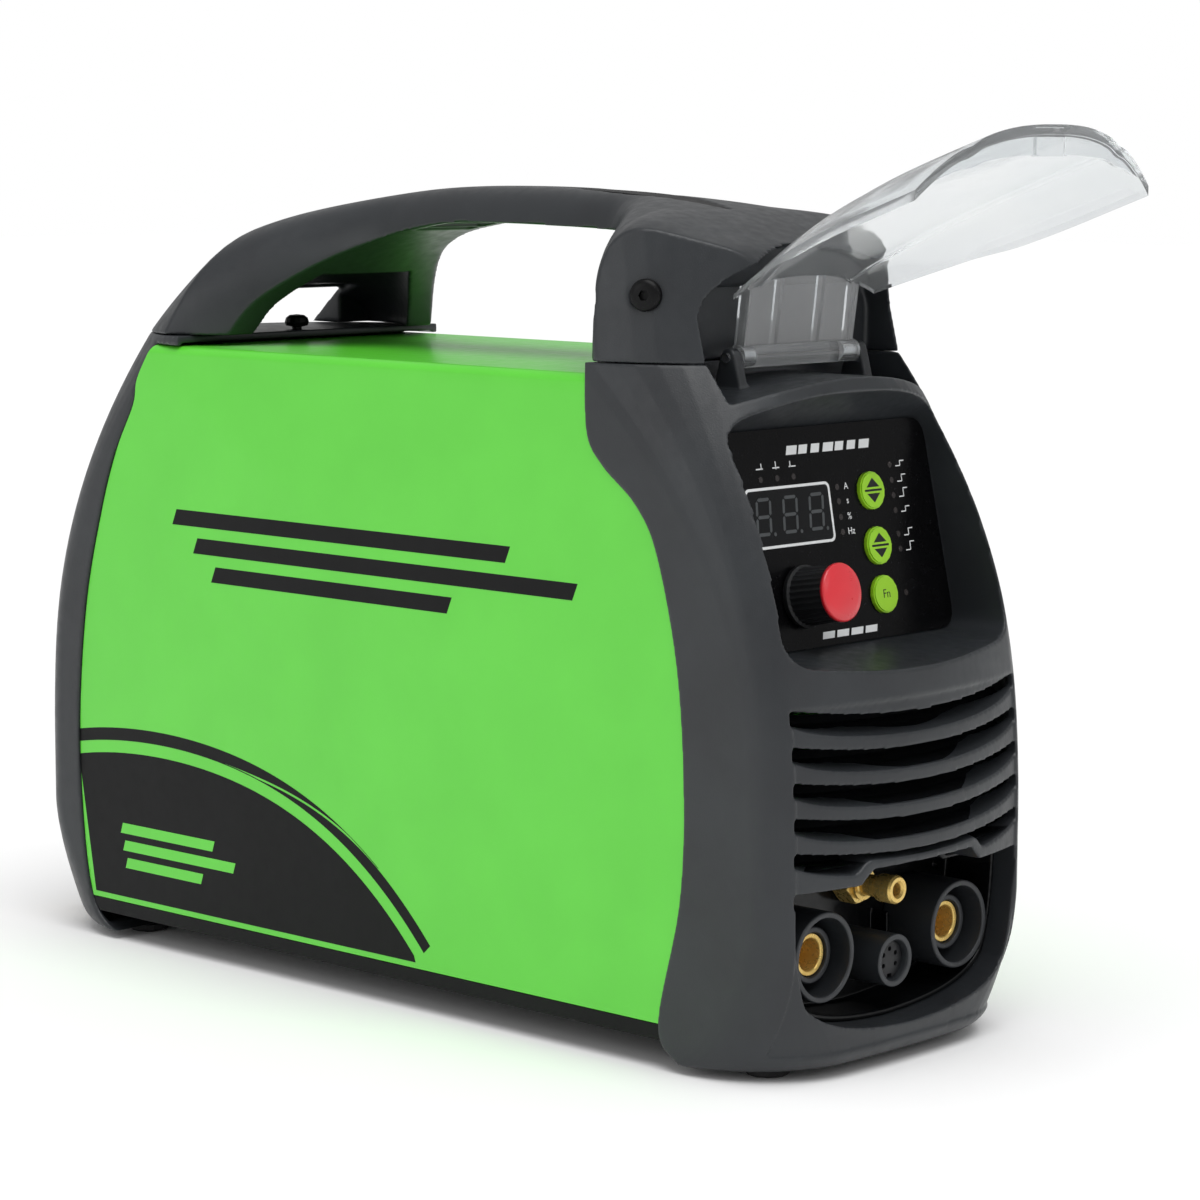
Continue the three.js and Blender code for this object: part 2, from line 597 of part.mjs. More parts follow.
// A level stretch of handle: its cross-sections are boxes with round shoulders, and turn into domes at
// the rear.
function handleStretch(fromY, toY, steps, inset, lower) {
  const line = handleTopLine(lower);
  const rings = levels(fromY, toY, steps).map((y) => {
    const half = handleHalfWidth(y) - inset;
    const rise = Math.max(2, heightAt(y, line) - SEAM_Z);
    const power = 2 / THREE.MathUtils.lerp(3.4, 2.3, rearShare(y));
    const over = levels(Math.PI, 0, SECTION_STEPS).map((angle) => [
      half * Math.sign(Math.cos(angle)) * Math.abs(Math.cos(angle)) ** power,
      y,
      SEAM_Z + rise * Math.sin(angle) ** power,
    ]);
    return [[-half, y, SEAM_Z - 2], ...over, [half, y, SEAM_Z - 2]];
  });
  return loft(rings);
}

// The ends of the handle carry the housings' rounded plan up past the seam.
function handleEnds() {
  const heights = levels(SEAM_Z, SEAM_Z + HANDLE_RISE + 5, 4);
  const front = heights.map((z) => {
    const ring = endRing(SEAM_Z, -1, FRONT_INNER_Y, 0);
    return ring.map(([x, y]) => [x * (1 - 0.05 * (z - SEAM_Z) / HANDLE_RISE), y + 0.2 * (z - SEAM_Z), z]);
  });
  const rear = heights.map((z) => endRing(SEAM_Z, 1, REAR_INNER_Y, 0).map(([x, y]) => [x, y, z]));
  const middle = box(-HALF_WIDTH, HALF_WIDTH, FRONT_INNER_Y - 1, REAR_INNER_Y + 1, SEAM_Z, SEAM_Z + FAR);
  return join(loft(front), middle, loft(rear));
}

const LEG_WINDOW = { halfWidth: 47, barZ: SEAM_Z + 17, barHeight: 10, barDepth: 8 };

// The hollow under the handle's rear: it splits the rear into two legs under a roof.
function legHollow() {
  const hollow = handleStretch(REAR_Y - 135, REAR_Y - 36, 6, LEG_THICKNESS, HANDLE_WALL + 5);
  const window = box(-LEG_WINDOW.halfWidth, LEG_WINDOW.halfWidth, REAR_Y - 100, REAR_Y, SEAM_Z - 1, SEAM_Z + 29);
  return join(hollow, window);
}

function crossbar() {
  const half = LEG_WINDOW.halfWidth + 10;
  const y = REAR_Y - 66;
  const shape = roundedOutline(LEG_WINDOW.barDepth / 2, LEG_WINDOW.barHeight / 2, 2, y, LEG_WINDOW.barZ + 5);
  return alongX(shape, -half, half, 3);
}

// Open cells under the grip, between its stiffening ribs.
function gripCells() {
  const half = GRIP_HALF_WIDTH - HANDLE_WALL;
  const from = FRONT_Y + 128;
  const to = REAR_Y - 178;
  const count = 6;
  const pitch = (to - from) / count;
  const roof = handleTopLine(HANDLE_WALL);
  const inside = roof.filter(([y]) => y > from && y < to);
  const under = alongX(outline([[from, SEAM_Z], ...inside, [to, SEAM_Z]]), -half, half);
  return Array.from({ length: count }, (_, i) => {
    const y = from + i * pitch;
    return box(-half, half, y + 1, y + pitch - 1, SEAM_Z + 30, SEAM_Z + FAR).intersect(under);
  });
}

// Hollow inside the head, open underneath.
function headHollow() {
  const rings = [SEAM_Z - 1, SEAM_Z + 24, SEAM_Z + 42].map((z) => {
    const half = HALF_WIDTH - 8 - 0.25 * (z - SEAM_Z);
    const [frontY, backY] = [POCKET_BACK_Y + 6, FRONT_Y + 90];
    return [[half, frontY, z], [half, backY, z], [-half, backY, z], [-half, frontY, z]];
  });
  return loft(rings);
}

const SCREW = { y: FRONT_Y + 77, z: SEAM_Z + 27, radius: 6, depth: 9 };

function screwRecesses() {
  const deep = HALF_WIDTH - SCREW.depth;
  return [bar(SCREW.radius, -FAR, -deep, SCREW.y, SCREW.z), bar(SCREW.radius, deep, FAR, SCREW.y, SCREW.z)];
}

const INLAY = { y: FRONT_Y + 142, halfLength: 48, halfWidth: 9, depth: 1.6 };

function inlayColumn(away) {
  const shape = new THREE.Shape();
  const half = INLAY.halfWidth + away;
  const length = INLAY.halfLength + away;
  shape.moveTo(0, INLAY.y - length);
  shape.quadraticCurveTo(2 * half, INLAY.y, 0, INLAY.y + length);
  shape.quadraticCurveTo(-2 * half, INLAY.y, 0, INLAY.y - length);
  return alongZ(shape, SEAM_Z, SEAM_Z + FAR, 8);
}

function sideBlock(lower) {
  const line = handleTopLine(lower);
  return alongX(outline([[line[0][0], SEAM_Z - 60], ...line, [line.at(-1)[0], SEAM_Z - 60]]), -FAR, FAR);
}

function handle() {
  const body = handleStretch(FRONT_Y + END_LEAN, REAR_Y - END_LEAN - 1, 26, 0, 0).intersect(handleEnds());
  const groove = inlayColumn(0).subtract(sideBlock(INLAY.depth));
  const hollowed = cut(
    body, alongX(fingerGapShape(), -FAR, FAR), legHollow(), pocketSolid(0), headHollow(),
    ...gripCells(), ...screwRecesses(), groove,
  );
  return join(hollowed, crossbar().intersect(body)).translate([0, 0, GAP]);
}

function gripInlay() {
  const slab = sideBlock(0.2).subtract(sideBlock(INLAY.depth - GAP));
  return inlayColumn(-GAP).intersect(slab).translate([0, 0, GAP]);
}

// ---------------------------------------------------------------- clear flip-up cover, shown open
const SHIELD_STEPS = 9;

// Half-width, edge height and crown height of the shield, from its root (0) to its free end (1).
function shieldSection(share) {
  const halfWidth = 44 + 30 * Math.sin(Math.min(share / 0.75, 1) * (Math.PI / 2));
  const edge = HINGE.z + 25 + 43 * share ** 0.95;
  const crown = SHIELD.rootCrown + (SHIELD.crown - SHIELD.rootCrown) * (1 - (1 - share) ** 3);
  return { y: HINGE.y - 5 - (SHIELD.reach - 5) * share, halfWidth, edge, crown };
}

// How far the shield stands above its edge, from one side (-1) to the other (1).
function shieldLift(crown, across) {
  return crown * (1 - Math.abs(across) ** 2.6);
}

function shield() {
  const rows = levels(0, 1, SHIELD_STEPS).map((share) => {
    const { y, halfWidth, edge, crown } = shieldSection(share);
    return levels(-1, 1, 10).map((across) => {
      return [across * halfWidth, y - 8 * share * (1 - across ** 2), edge + shieldLift(crown, across)];
    });
  });
  return curvedPlate(rows, SHIELD.thickness);
}

// The web that carries the shield from the hinge barrel, with two ribs behind it.
function shieldWeb() {
  const root = shieldSection(0);
  const top = root.edge + root.crown;
  const half = HINGE.halfLength - 2;
  const roof = (x) => root.edge + shieldLift(root.crown, x / root.halfWidth) - 1;
  const arch = levels(-half, half, 8).map((x) => [x, roof(x)]);
  const under = alongY(outline([[-half, HINGE.z], ...arch, [half, HINGE.z]]), HINGE.y - FAR, HINGE.y + FAR);
  const web = alongX(outline([
    [HINGE.y + 1.5, HINGE.z + 2], [HINGE.y - 1.5, HINGE.z + 2], [root.y - 1, top], [root.y + 2, top],
  ]), -half, half);
  const ribSide = outline([
    [HINGE.y + 3.5, HINGE.z + 1], [HINGE.y - 0.4, HINGE.z + 1], [root.y + 0.6, top], [root.y + 5, top],
  ]);
  const ribs = [-13, 13].map((x) => alongX(ribSide, x - 1.2, x + 1.2));
  return join(web, ...ribs).intersect(under);
}

function clearCover() {
  const barrel = bar(HINGE.radius, -HINGE.halfLength, HINGE.halfLength, HINGE.y, HINGE.z, 20);
  const depth = 9;
  const [inner, outer] = [HINGE.halfLength - depth, HINGE.halfLength + 1];
  const bores = [-1, 1].map((side) => (
    bar(HINGE.pinRadius + 0.3, side * inner, side * outer, HINGE.y, HINGE.z, 12)
  ));
  const tip = shieldSection(1);
  const nub = box(-9, 9, tip.y - 12, tip.y - 4, tip.edge + tip.crown - 12, tip.edge + tip.crown - 1);
  return cut(join(barrel, shieldWeb(), shield(), nub), ...bores);
}

const LUG_GAP = 0.8;
const LUG_WIDTH = 6;

function hingePin(side) {
  const inner = side * (HINGE.halfLength - 8.4);
  const outer = side * (HINGE.halfLength + LUG_GAP + LUG_WIDTH);
  return bar(HINGE.pinRadius, inner, outer, HINGE.y, HINGE.z, 12);
}

// The posts on the front housing that hold the hinge pins.
function hingeLug(side) {
  const inner = side * (HINGE.halfLength + LUG_GAP);
  const outer = inner + side * LUG_WIDTH;
  const shape = outline([
    [HINGE.y - 5, SEAM_Z - 16], [HINGE.y + 5, SEAM_Z - 16], [HINGE.y + 4.5, HINGE.z + 2],
    [HINGE.y + 2, HINGE.z + 4.5], [HINGE.y - 2, HINGE.z + 4.5], [HINGE.y - 4.5, HINGE.z + 2],
  ]);
  const from = Math.min(inner, outer);
  const lug = alongX(shape, from, from + LUG_WIDTH);
  return lug.subtract(bar(HINGE.pinRadius + 0.3, from - 1, from + LUG_WIDTH + 1, HINGE.y, HINGE.z, 12));
}

// ---------------------------------------------------------------- control panel pieces
const FACE_N = GAP; // back of the membrane
const FACE_TOP_N = GAP + MEMBRANE;

function membrane() {
  const plate = onPanel(outline(panelOutline({
    halfBottom: PANEL_HALF_BOTTOM, halfTop: PANEL_HALF_TOP,
    bottom: -PANEL_HALF_HEIGHT, top: PANEL_HALF_HEIGHT, radius: 9,
  })), FACE_N, FACE_TOP_N);
  const window = roundedOutline(DISPLAY.width / 2, DISPLAY.height / 2, 2, DISPLAY.u, DISPLAY.v);
  const holes = Object.values(BUTTON_PLACES).map((v) => (
    onPanel(disc(BUTTON_RADIUS + 0.3, BUTTON_U, v), -1, 3, 8)
  ));
  return cut(plate, onPanel(window, -1, 3, 3), onPanel(disc(4.8, KNOB.u, KNOB.v), -1, 3), ...holes);
}

function displayWindow() {
  const half = DISPLAY.width / 2 - 0.3;
  const shape = roundedOutline(half, DISPLAY.height / 2 - 0.3, 1.8, DISPLAY.u, DISPLAY.v);
  return onPanel(shape, FACE_N, FACE_TOP_N, 3);
}

function displayModule() {
  return onPanel(roundedOutline(24.2, 10.6, 0.8, DISPLAY.u, DISPLAY.v), BOARD_N + GAP, -0.6, 2);
}

const FLANGE_N = -WALL - 0.6; // front of a button's retaining flange

function button(v) {
  const crown = onPanel(disc(BUTTON_RADIUS, BUTTON_U, v), FLANGE_N - 1, FACE_TOP_N + BUTTON_PROUD - 0.6, 8);
  const edge = onPanel(disc(BUTTON_RADIUS - 0.6, BUTTON_U, v), 0, FACE_TOP_N + BUTTON_PROUD, 8);
  const flange = onPanel(disc(BUTTON_RADIUS + 1.4, BUTTON_U, v), FLANGE_N - 1.6, FLANGE_N, 8);
  const plunger = onPanel(disc(2, BUTTON_U, v), BOARD_N + 2 + BUTTON_TRAVEL, FLANGE_N, 3);
  return join(crown, edge, flange, plunger);
}

function controlBoard() {
  const outer = roundedOutline(PANEL_HALF_TOP + 1, PANEL_HALF_HEIGHT - 2.2, 2);
  const plate = onPanel(outer, BOARD_N - 1.6, BOARD_N, 2);
  const contacts = Object.values(BUTTON_PLACES).map((v) => (
    onPanel(roundedOutline(3, 3, 0.3, BUTTON_U, v), BOARD_N - 0.5, BOARD_N + 1.7, 1)
  ));
  return join(plate, ...contacts);
}

function encoderBody() {
  const can = onPanel(roundedOutline(6.5, 6, 0.4, KNOB.u, KNOB.v), BOARD_N + GAP, -4.2, 1);
  const bush = onPanel(disc(4.4, KNOB.u, KNOB.v), -5, 1.6);
  return join(can, bush).subtract(onPanel(disc(KNOB.shaftRadius + 0.3, KNOB.u, KNOB.v), -3.6, 5));
}

function encoderShaft() {
  return onPanel(disc(KNOB.shaftRadius, KNOB.u, KNOB.v), -3.3, 13, 8);
}

const KNOB_FOOT_N = FACE_TOP_N + 1;

function encoderKnob() {
  const ribs = 24;
  const shape = outline(levels(0, 2 * Math.PI, ribs * 2).slice(1).map((angle, i) => {
    const radius = KNOB.radius - (i % 2 ? 0.6 : 0);
    return [KNOB.u + radius * Math.cos(angle), KNOB.v + radius * Math.sin(angle)];
  }));
  const skirt = onPanel(shape, KNOB_FOOT_N, KNOB_FOOT_N + KNOB.height - 1.5);
  const shaftHole = onPanel(disc(KNOB.shaftRadius + 0.3, KNOB.u, KNOB.v), 0, 13.4);
  const underside = onPanel(disc(9, KNOB.u, KNOB.v), 0, KNOB_FOOT_N + 3);
  return cut(skirt, shaftHole, underside);
}

function knobCap() {
  const foot = KNOB_FOOT_N + KNOB.height - 1.1;
  const rim = KNOB.radius - 0.3;
  const dome = turned([[0, 0], [rim, 0], [rim, 1.2], [rim * 0.9, 2.2], [rim * 0.55, 2.9], [0, 3.2]], 28);
  const place = new THREE.Matrix4().makeBasis(X, PANEL_OUT, PANEL_UP.clone().negate());
  return solid(dome.applyMatrix4(place.setPosition(panelPoint(KNOB.u, KNOB.v, foot))));
}

// ---------------------------------------------------------------- connector bay pieces
const SHANK_RADIUS = 6; // of a socket insert, through the connector panel

function connectorPanel() {
  const tray = alongY(bayShape(-GAP), FRONT_Y + 12, BAY_BACK_Y);
  const hollow = alongY(bayShape(-GAP - 2), -FAR, PLATE_FRONT_Y);
  const shanks = [-1, 1].map((side) => alongY(disc(SHANK_RADIUS + GAP, side * SOCKET.x, SOCKET.z), -FAR, 0));
  const control = alongY(disc(CONTROL_SOCKET.insertRadius + GAP, 0, CONTROL_SOCKET.z), -FAR, 0);
  const gas = alongY(disc(5 + GAP, 0, GAS_OUTLET.z), -FAR, 0);
  const collarRoom = [-1, 1].map((side) => (
    alongY(disc(SOCKET.collarRadius + GAP, side * SOCKET.x, SOCKET.z), -FAR, PLATE_FRONT_Y, 12)
  ));
  return cut(tray, hollow, ...shanks, control, gas, ...collarRoom);
}

function socketCollar(side) {
  const length = PLATE_FRONT_Y - GAP - SOCKET_FACE_Y;
  const inner = SOCKET.collarRadius - SOCKET.collarWall;
  const hole = SOCKET.ringRadius + GAP;
  const profile = [
    [hole, 0], [SOCKET.collarRadius, 0], [SOCKET.collarRadius, length], [inner, length],
    [inner, 7], [hole, 7], [hole, 0],
  ];
  return turnedForward(profile, side * SOCKET.x, PLATE_FRONT_Y - GAP, SOCKET.z, 24);
}

function socketInsert(side) {
  const foot = BAY_BACK_Y + 11;
  const step = foot - (PLATE_FRONT_Y - GAP);
  const length = foot - SOCKET_FACE_Y - 8;
  const profile = [
    [0, 0], [SHANK_RADIUS, 0], [SHANK_RADIUS, step], [SOCKET.ringRadius, step], [SOCKET.ringRadius, length],
    [SOCKET.boreRadius, length], [SOCKET.boreRadius, step + 1], [0, step + 1],
  ];
  return turnedForward(profile, side * SOCKET.x, foot, SOCKET.z, 20);
}

function controlSocketShell() {
  const foot = PLATE_FRONT_Y - GAP;
  const length = foot - SOCKET_FACE_Y + 1;
  const hole = CONTROL_SOCKET.insertRadius + GAP;
  const outer = CONTROL_SOCKET.radius;
  const profile = [[hole, 0], [outer, 0], [outer, length], [hole, length], [hole, 0]];
  return turnedForward(profile, 0, foot, CONTROL_SOCKET.z, 18);
}

function controlSocketInsert() {
  const face = SOCKET_FACE_Y + 2;
  const body = alongY(disc(CONTROL_SOCKET.insertRadius, 0, CONTROL_SOCKET.z), face, BAY_BACK_Y + 6, 8);
  const pins = [-120, -60, 0, 60, 120].map((degrees) => {
    const angle = THREE.MathUtils.degToRad(degrees + 90);
    const x = 4.4 * Math.cos(angle);
    const z = CONTROL_SOCKET.z + 4.4 * Math.sin(angle);
    return alongY(disc(0.9, x, z), face - 1, face + 8, 3);
  });
  return cut(body, ...pins);
}

function gasOutlet() {
  const foot = BAY_BACK_Y + 12;
  const hexRadius = GAS_OUTLET.hexFlats / Math.sqrt(3);
  const hex = alongY(hexagon(hexRadius, 0, GAS_OUTLET.z), PLATE_FRONT_Y - GAP - 11, PLATE_FRONT_Y - GAP);
  const length = foot - SOCKET_FACE_Y + 2;
  const tube = turnedForward([
    [GAS_OUTLET.boreRadius, 0], [5, 0], [5, 26], [4.6, 26], [4.6, length - 9], [GAS_OUTLET.nozzleRadius, length - 8],
    [GAS_OUTLET.nozzleRadius, length - 1], [GAS_OUTLET.nozzleRadius - 1, length], [GAS_OUTLET.boreRadius, length],
    [GAS_OUTLET.boreRadius, 0],
  ], 0, foot, GAS_OUTLET.z, 14);
  const bore = alongY(disc(GAS_OUTLET.boreRadius, 0, GAS_OUTLET.z), -FAR, 0, 5);
  return join(hex, tube).subtract(bore);
}

// ---------------------------------------------------------------- screws, stud and feet
function handleScrew(side) {
  const seat = HALF_WIDTH - SCREW.depth + 0.3;
  const head = bar(4.6, side * seat, side * (seat + 4), SCREW.y, SCREW.z + GAP);
  const socket = alongX(hexagon(2.2, SCREW.y, SCREW.z + GAP), seat + 2, seat + 5);
  return head.subtract(side < 0 ? socket.mirror([1, 0, 0]) : socket);
}

function strapStud() {
  const profile = [[0, -3.6], [2.2, -3.6], [2.2, 1], [5, 1.6], [5.6, 3.2], [5, 5.2], [3.4, 6.4], [0, 6.8]];
  return turnedUpward(profile, 0, STUD_Y, SEAM_Z, 14);
}

const FOOT = { radius: 9, x: 54, frontY: FRONT_Y + 25, rearY: REAR_Y - 42 };

function foot(x, y) {
  const height = FOOT_HEIGHT - GAP;
  const profile = [[0, 0], [FOOT.radius - 0.8, 0], [FOOT.radius, 0.8], [FOOT.radius, height], [0, height]];
  return turnedUpward(profile, x, y, 0, 14);
}

// ---------------------------------------------------------------- rear pieces
const SWITCH_TILT = Math.atan((2 * END_LEAN * (SWITCH.z - LEAN_FROM_Z)) / (SEAM_Z - LEAN_FROM_Z) ** 2);
const SWITCH_UP = new THREE.Vector3(0, -Math.sin(SWITCH_TILT), Math.cos(SWITCH_TILT));
const SWITCH_OUT = new THREE.Vector3(0, Math.cos(SWITCH_TILT), Math.sin(SWITCH_TILT));
const SWITCH_ORIGIN = new THREE.Vector3(0, REAR_Y - lean(SWITCH.z), SWITCH.z);

function onSwitch(shape, n0, n1, segments = 3) {
  const origin = SWITCH_ORIGIN.clone().addScaledVector(SWITCH_OUT, n0);
  return extruded(shape, n1 - n0, [X.clone().negate(), SWITCH_UP, SWITCH_OUT], origin.toArray(), segments);
}

const ROCKER = {
  pivotN: -3, swing: THREE.MathUtils.degToRad(7),
  halfWidth: SWITCH.width / 2 - 3, halfHeight: SWITCH.height / 2 - 3,
};

function switchFrame() {
  const bezel = onSwitch(roundedOutline(SWITCH.width / 2 + 2.5, SWITCH.height / 2 + 2.5, 2), 0.8, 2.8);
  const body = onSwitch(roundedOutline(SWITCH.width / 2 - 0.5, SWITCH.height / 2 - 0.5, 1), -18, 1);
  const well = onSwitch(roundedOutline(ROCKER.halfWidth + 0.5, ROCKER.halfHeight + 1, 0.5), -13, 5);
  const blades = [-8, 0, 8].map((v) => onSwitch(roundedOutline(3, 0.4, 0.2, 0, v), -25, -17, 1));
  return join(bezel, body, ...blades).subtract(well);
}

function switchRocker() {
  const { halfWidth, halfHeight, pivotN, swing } = ROCKER;
  const profile = [[-halfHeight, 6], [0, 4.4], [halfHeight, 6], [9, -5], [-9, -5]].map(([v, n]) => [
    pivotN + v * Math.sin(swing) + n * Math.cos(swing),
    v * Math.cos(swing) - n * Math.sin(swing),
  ]);
  const origin = SWITCH_ORIGIN.clone().addScaledVector(X, -halfWidth);
  return extruded(outline(profile), 2 * halfWidth, [SWITCH_OUT, SWITCH_UP, X], origin.toArray(), 2);
}

const INLET_FACE_Y = REAR_Y + GAP;

function cableGland() {
  const hexNut = alongY(hexagon(12.5, INLET_X, INLET_Z), INLET_FACE_Y, INLET_FACE_Y + 6);
  const body = turnedBackward([
    [4.5, -12], [8, -12], [8, 6], [11, 6], [11, 12], [9.5, 16], [7, 18], [4.5, 18], [4.5, -12],
  ], INLET_X, INLET_FACE_Y, INLET_Z, 16);
  return join(hexNut, body).subtract(alongY(disc(4.5, INLET_X, INLET_Z), 0, FAR, 8));
}

function gasInlet() {
  const hexNut = alongY(hexagon(8, -INLET_X, INLET_Z), INLET_FACE_Y, INLET_FACE_Y + 6);
  const body = turnedBackward([
    [2.4, -14], [5, -14], [5, 7], [4, 8], [4.8, 9], [4, 12], [4.8, 13], [4, 16], [4.6, 17], [3.6, 19], [2.4, 19],
    [2.4, -14],
  ], -INLET_X, INLET_FACE_Y, INLET_Z, 12);
  return join(hexNut, body).subtract(alongY(disc(2.4, -INLET_X, INLET_Z), 0, FAR, 6));
}

const FAN_BACK_Y = REAR_Y - 12; // back of the fan's frame, clear of the leaning rear wall
const FAN_FRONT_Y = FAN_BACK_Y - FAN.depth;

function fanFrame() {
  const half = FAN.size / 2;
  const frame = alongY(roundedOutline(half, half, 6, 0, FAN.z), FAN_FRONT_Y, FAN_BACK_Y, 3);
  const duct = alongY(disc(FAN.rotorRadius + 2, 0, FAN.z), 0, FAR, 16);
  const motorPlate = alongY(disc(FAN.hubRadius, 0, FAN.z), FAN_BACK_Y - 3, FAN_BACK_Y, 12);
  const cross = [-1, 1].map((side) => {
    const reach = half - 8;
    const shape = outline([
      [-reach - 2, FAN.z - side * reach], [-reach + 2, FAN.z - side * reach],
      [reach + 2, FAN.z + side * reach], [reach - 2, FAN.z + side * reach],
    ]);
    return alongY(shape, FAN_BACK_Y - 3, FAN_BACK_Y);
  });
  const pin = alongY(disc(2, 0, FAN.z), FAN_FRONT_Y + 6, FAN_BACK_Y - 2, 6);
  return join(frame.subtract(duct), motorPlate, ...cross, pin);
}

function fanRotor() {
  const back = FAN_BACK_Y - 3.6;
  const front = FAN_FRONT_Y + 2;
  const hub = alongY(disc(FAN.hubRadius, 0, FAN.z), front, back, 12);
  const blade = solid(new THREE.BoxGeometry(FAN.rotorRadius - 14, 19, 1.8)
    .rotateX(THREE.MathUtils.degToRad(38))
    .translate((FAN.rotorRadius + 14) / 2, (front + back) / 2, 0));
  const blades = Array.from({ length: FAN.blades }, (_, i) => {
    return blade.rotate([0, (i * 360) / FAN.blades, 0]).translate([0, 0, FAN.z]);
  });
  const bore = alongY(disc(2.3, 0, FAN.z), FAN_FRONT_Y + 5.6, FAR, 6);
  return join(hub, ...blades).subtract(bore);
}

// ---------------------------------------------------------------- inside the case
const BOARD_Z = TRAY_TOP_Z + 14;
const BOARD = 1.6;
const BOARD_TOP_Z = BOARD_Z + BOARD;
const BOARD_SPAN = { halfWidth: HALF_WIDTH - 19, frontY: FRONT_Y + 64, backY: REAR_Y - 98 };
const POSTS = [-1, 1].flatMap((side) => [
  [side * (BOARD_SPAN.halfWidth - 7), BOARD_SPAN.frontY + 10],
  [side * (BOARD_SPAN.halfWidth - 7), BOARD_SPAN.backY - 10],
]);

function trayPosts() {
  return POSTS.map(([x, y]) => alongZ(disc(4, x, y), TRAY_TOP_Z - 2, BOARD_Z - GAP, 6));
}

function mainBoard() {
  const { halfWidth, frontY, backY } = BOARD_SPAN;
  return box(-halfWidth, halfWidth, frontY, backY, BOARD_Z, BOARD_TOP_Z);
}

const ON_BOARD_Z = BOARD_TOP_Z + GAP;
const SINK = { width: 40, height: 70, finCount: 6, fin: 2, base: 5 };

function heatSink(side) {
  const inner = 8;
  const pitch = (SINK.height - SINK.fin) / (SINK.finCount - 1);
  const points = [[inner, ON_BOARD_Z]];
  for (let i = 0; i < SINK.finCount; i++) {
    const z = ON_BOARD_Z + i * pitch;
    points.push([inner + SINK.width, z], [inner + SINK.width, z + SINK.fin]);
    if (i + 1 < SINK.finCount) points.push([inner + SINK.base, z + SINK.fin], [inner + SINK.base, z + pitch]);
  }
  points.push([inner, ON_BOARD_Z + SINK.height]);
  const shape = outline(points.map(([x, z]) => [side * x, z]));
  return alongY(shape, BOARD_SPAN.frontY + 62, BOARD_SPAN.backY - 118);
}

function capacitor(x) {
  const height = 50;
  const profile = [[0, 0], [15, 0], [15, height - 1], [14, height], [0, height]];
  return turnedUpward(profile, x, BOARD_SPAN.frontY + 38, ON_BOARD_Z, 14);
}

function transformer() {
  const backY = BOARD_SPAN.backY - 12;
  const outerX = 6 - BOARD_SPAN.halfWidth;
  const core = box(outerX, -6, backY - 52, backY, ON_BOARD_Z, ON_BOARD_Z + 44);
  const winding = alongX(roundedOutline(34, 16, 8, backY - 26, ON_BOARD_Z + 22), outerX + 10, -16, 4);
  return join(core, winding);
}

function outputChoke() {
  const profile = [[11, 0], [25, 0], [26, 1], [26, 21], [25, 22], [11, 22], [10, 21], [10, 1], [11, 0]];
  return turnedUpward(profile, 30, BOARD_SPAN.backY - 40, ON_BOARD_Z, 16);
}

function rectifier() {
  return box(12, 48, BOARD_SPAN.backY - 108, BOARD_SPAN.backY - 76, ON_BOARD_Z, ON_BOARD_Z + 24);
}

function hfCoil() {
  const profile = [[8, 0], [17, 0], [18, 1], [18, 15], [17, 16], [8, 16], [7, 15], [7, 1], [8, 0]];
  return turnedUpward(profile, -30, BOARD_SPAN.backY - 92, ON_BOARD_Z, 14);
}

const VALVE = { x: 16 - HALF_WIDTH, frontY: REAR_Y - 90, backY: REAR_Y - 50, halfWidth: 10, top: 50 };
const HOSE = { radius: 3.5, x: 12 - HALF_WIDTH, z: 32 };

function gasValve() {
  const { x, frontY, backY, halfWidth, top } = VALVE;
  const body = box(x - halfWidth, x + halfWidth, frontY, backY, TRAY_TOP_Z + GAP, top);
  const coil = alongZ(disc(10, x, (frontY + backY) / 2), top - 1, top + 22, 8);
  return join(body, coil);
}

// A tube of a given radius along a smooth line through points.
function tube(points, radius, steps) {
  const curve = new THREE.CatmullRomCurve3(points.map((point) => new THREE.Vector3(...point)));
  const options = { steps, extrudePath: curve, bevelEnabled: false, curveSegments: 4 };
  return solid(new THREE.ExtrudeGeometry(disc(radius), options));
}

function inletHose() {
  const start = INLET_FACE_Y - 14 - GAP;
  const end = VALVE.backY + GAP;
  return tube([
    [-INLET_X, start, INLET_Z], [-INLET_X, start - 5, INLET_Z], [HOSE.x, end + 6, HOSE.z], [HOSE.x, end, HOSE.z],
  ], HOSE.radius, 10);
}

function outletHose() {
  const start = VALVE.frontY - GAP;
  const end = BAY_BACK_Y + 12 + GAP;
  return tube([
    [HOSE.x, start, HOSE.z], [HOSE.x, start - 8, HOSE.z], [HOSE.x, BOARD_SPAN.frontY + 30, HOSE.z],
    [HOSE.x + 7, BOARD_SPAN.frontY - 8, 54], [-20, end + 9, GAS_OUTLET.z], [0, end + 5, GAS_OUTLET.z],
    [0, end, GAS_OUTLET.z],
  ], HOSE.radius, 26);
}

function busbar(side) {
  const y = BAY_BACK_Y + 11 + GAP;
  const x = side * SOCKET.x;
  const upright = box(x - 7, x + 7, y, y + 3, ON_BOARD_Z, SOCKET.z + 7);
  const reach = box(x - 7, x + 7, y, BOARD_SPAN.frontY + 8, ON_BOARD_Z, ON_BOARD_Z + 3);
  return join(upright, reach);
}

// ---------------------------------------------------------------- assembly
const machine = new THREE.Group();

function addPiece(name, made, material, group = machine) {
  const mesh = new THREE.Mesh(geometryOf(made), material);
  mesh.name = name;
  group.add(mesh);
}

const sides = { left: -1, right: 1 };

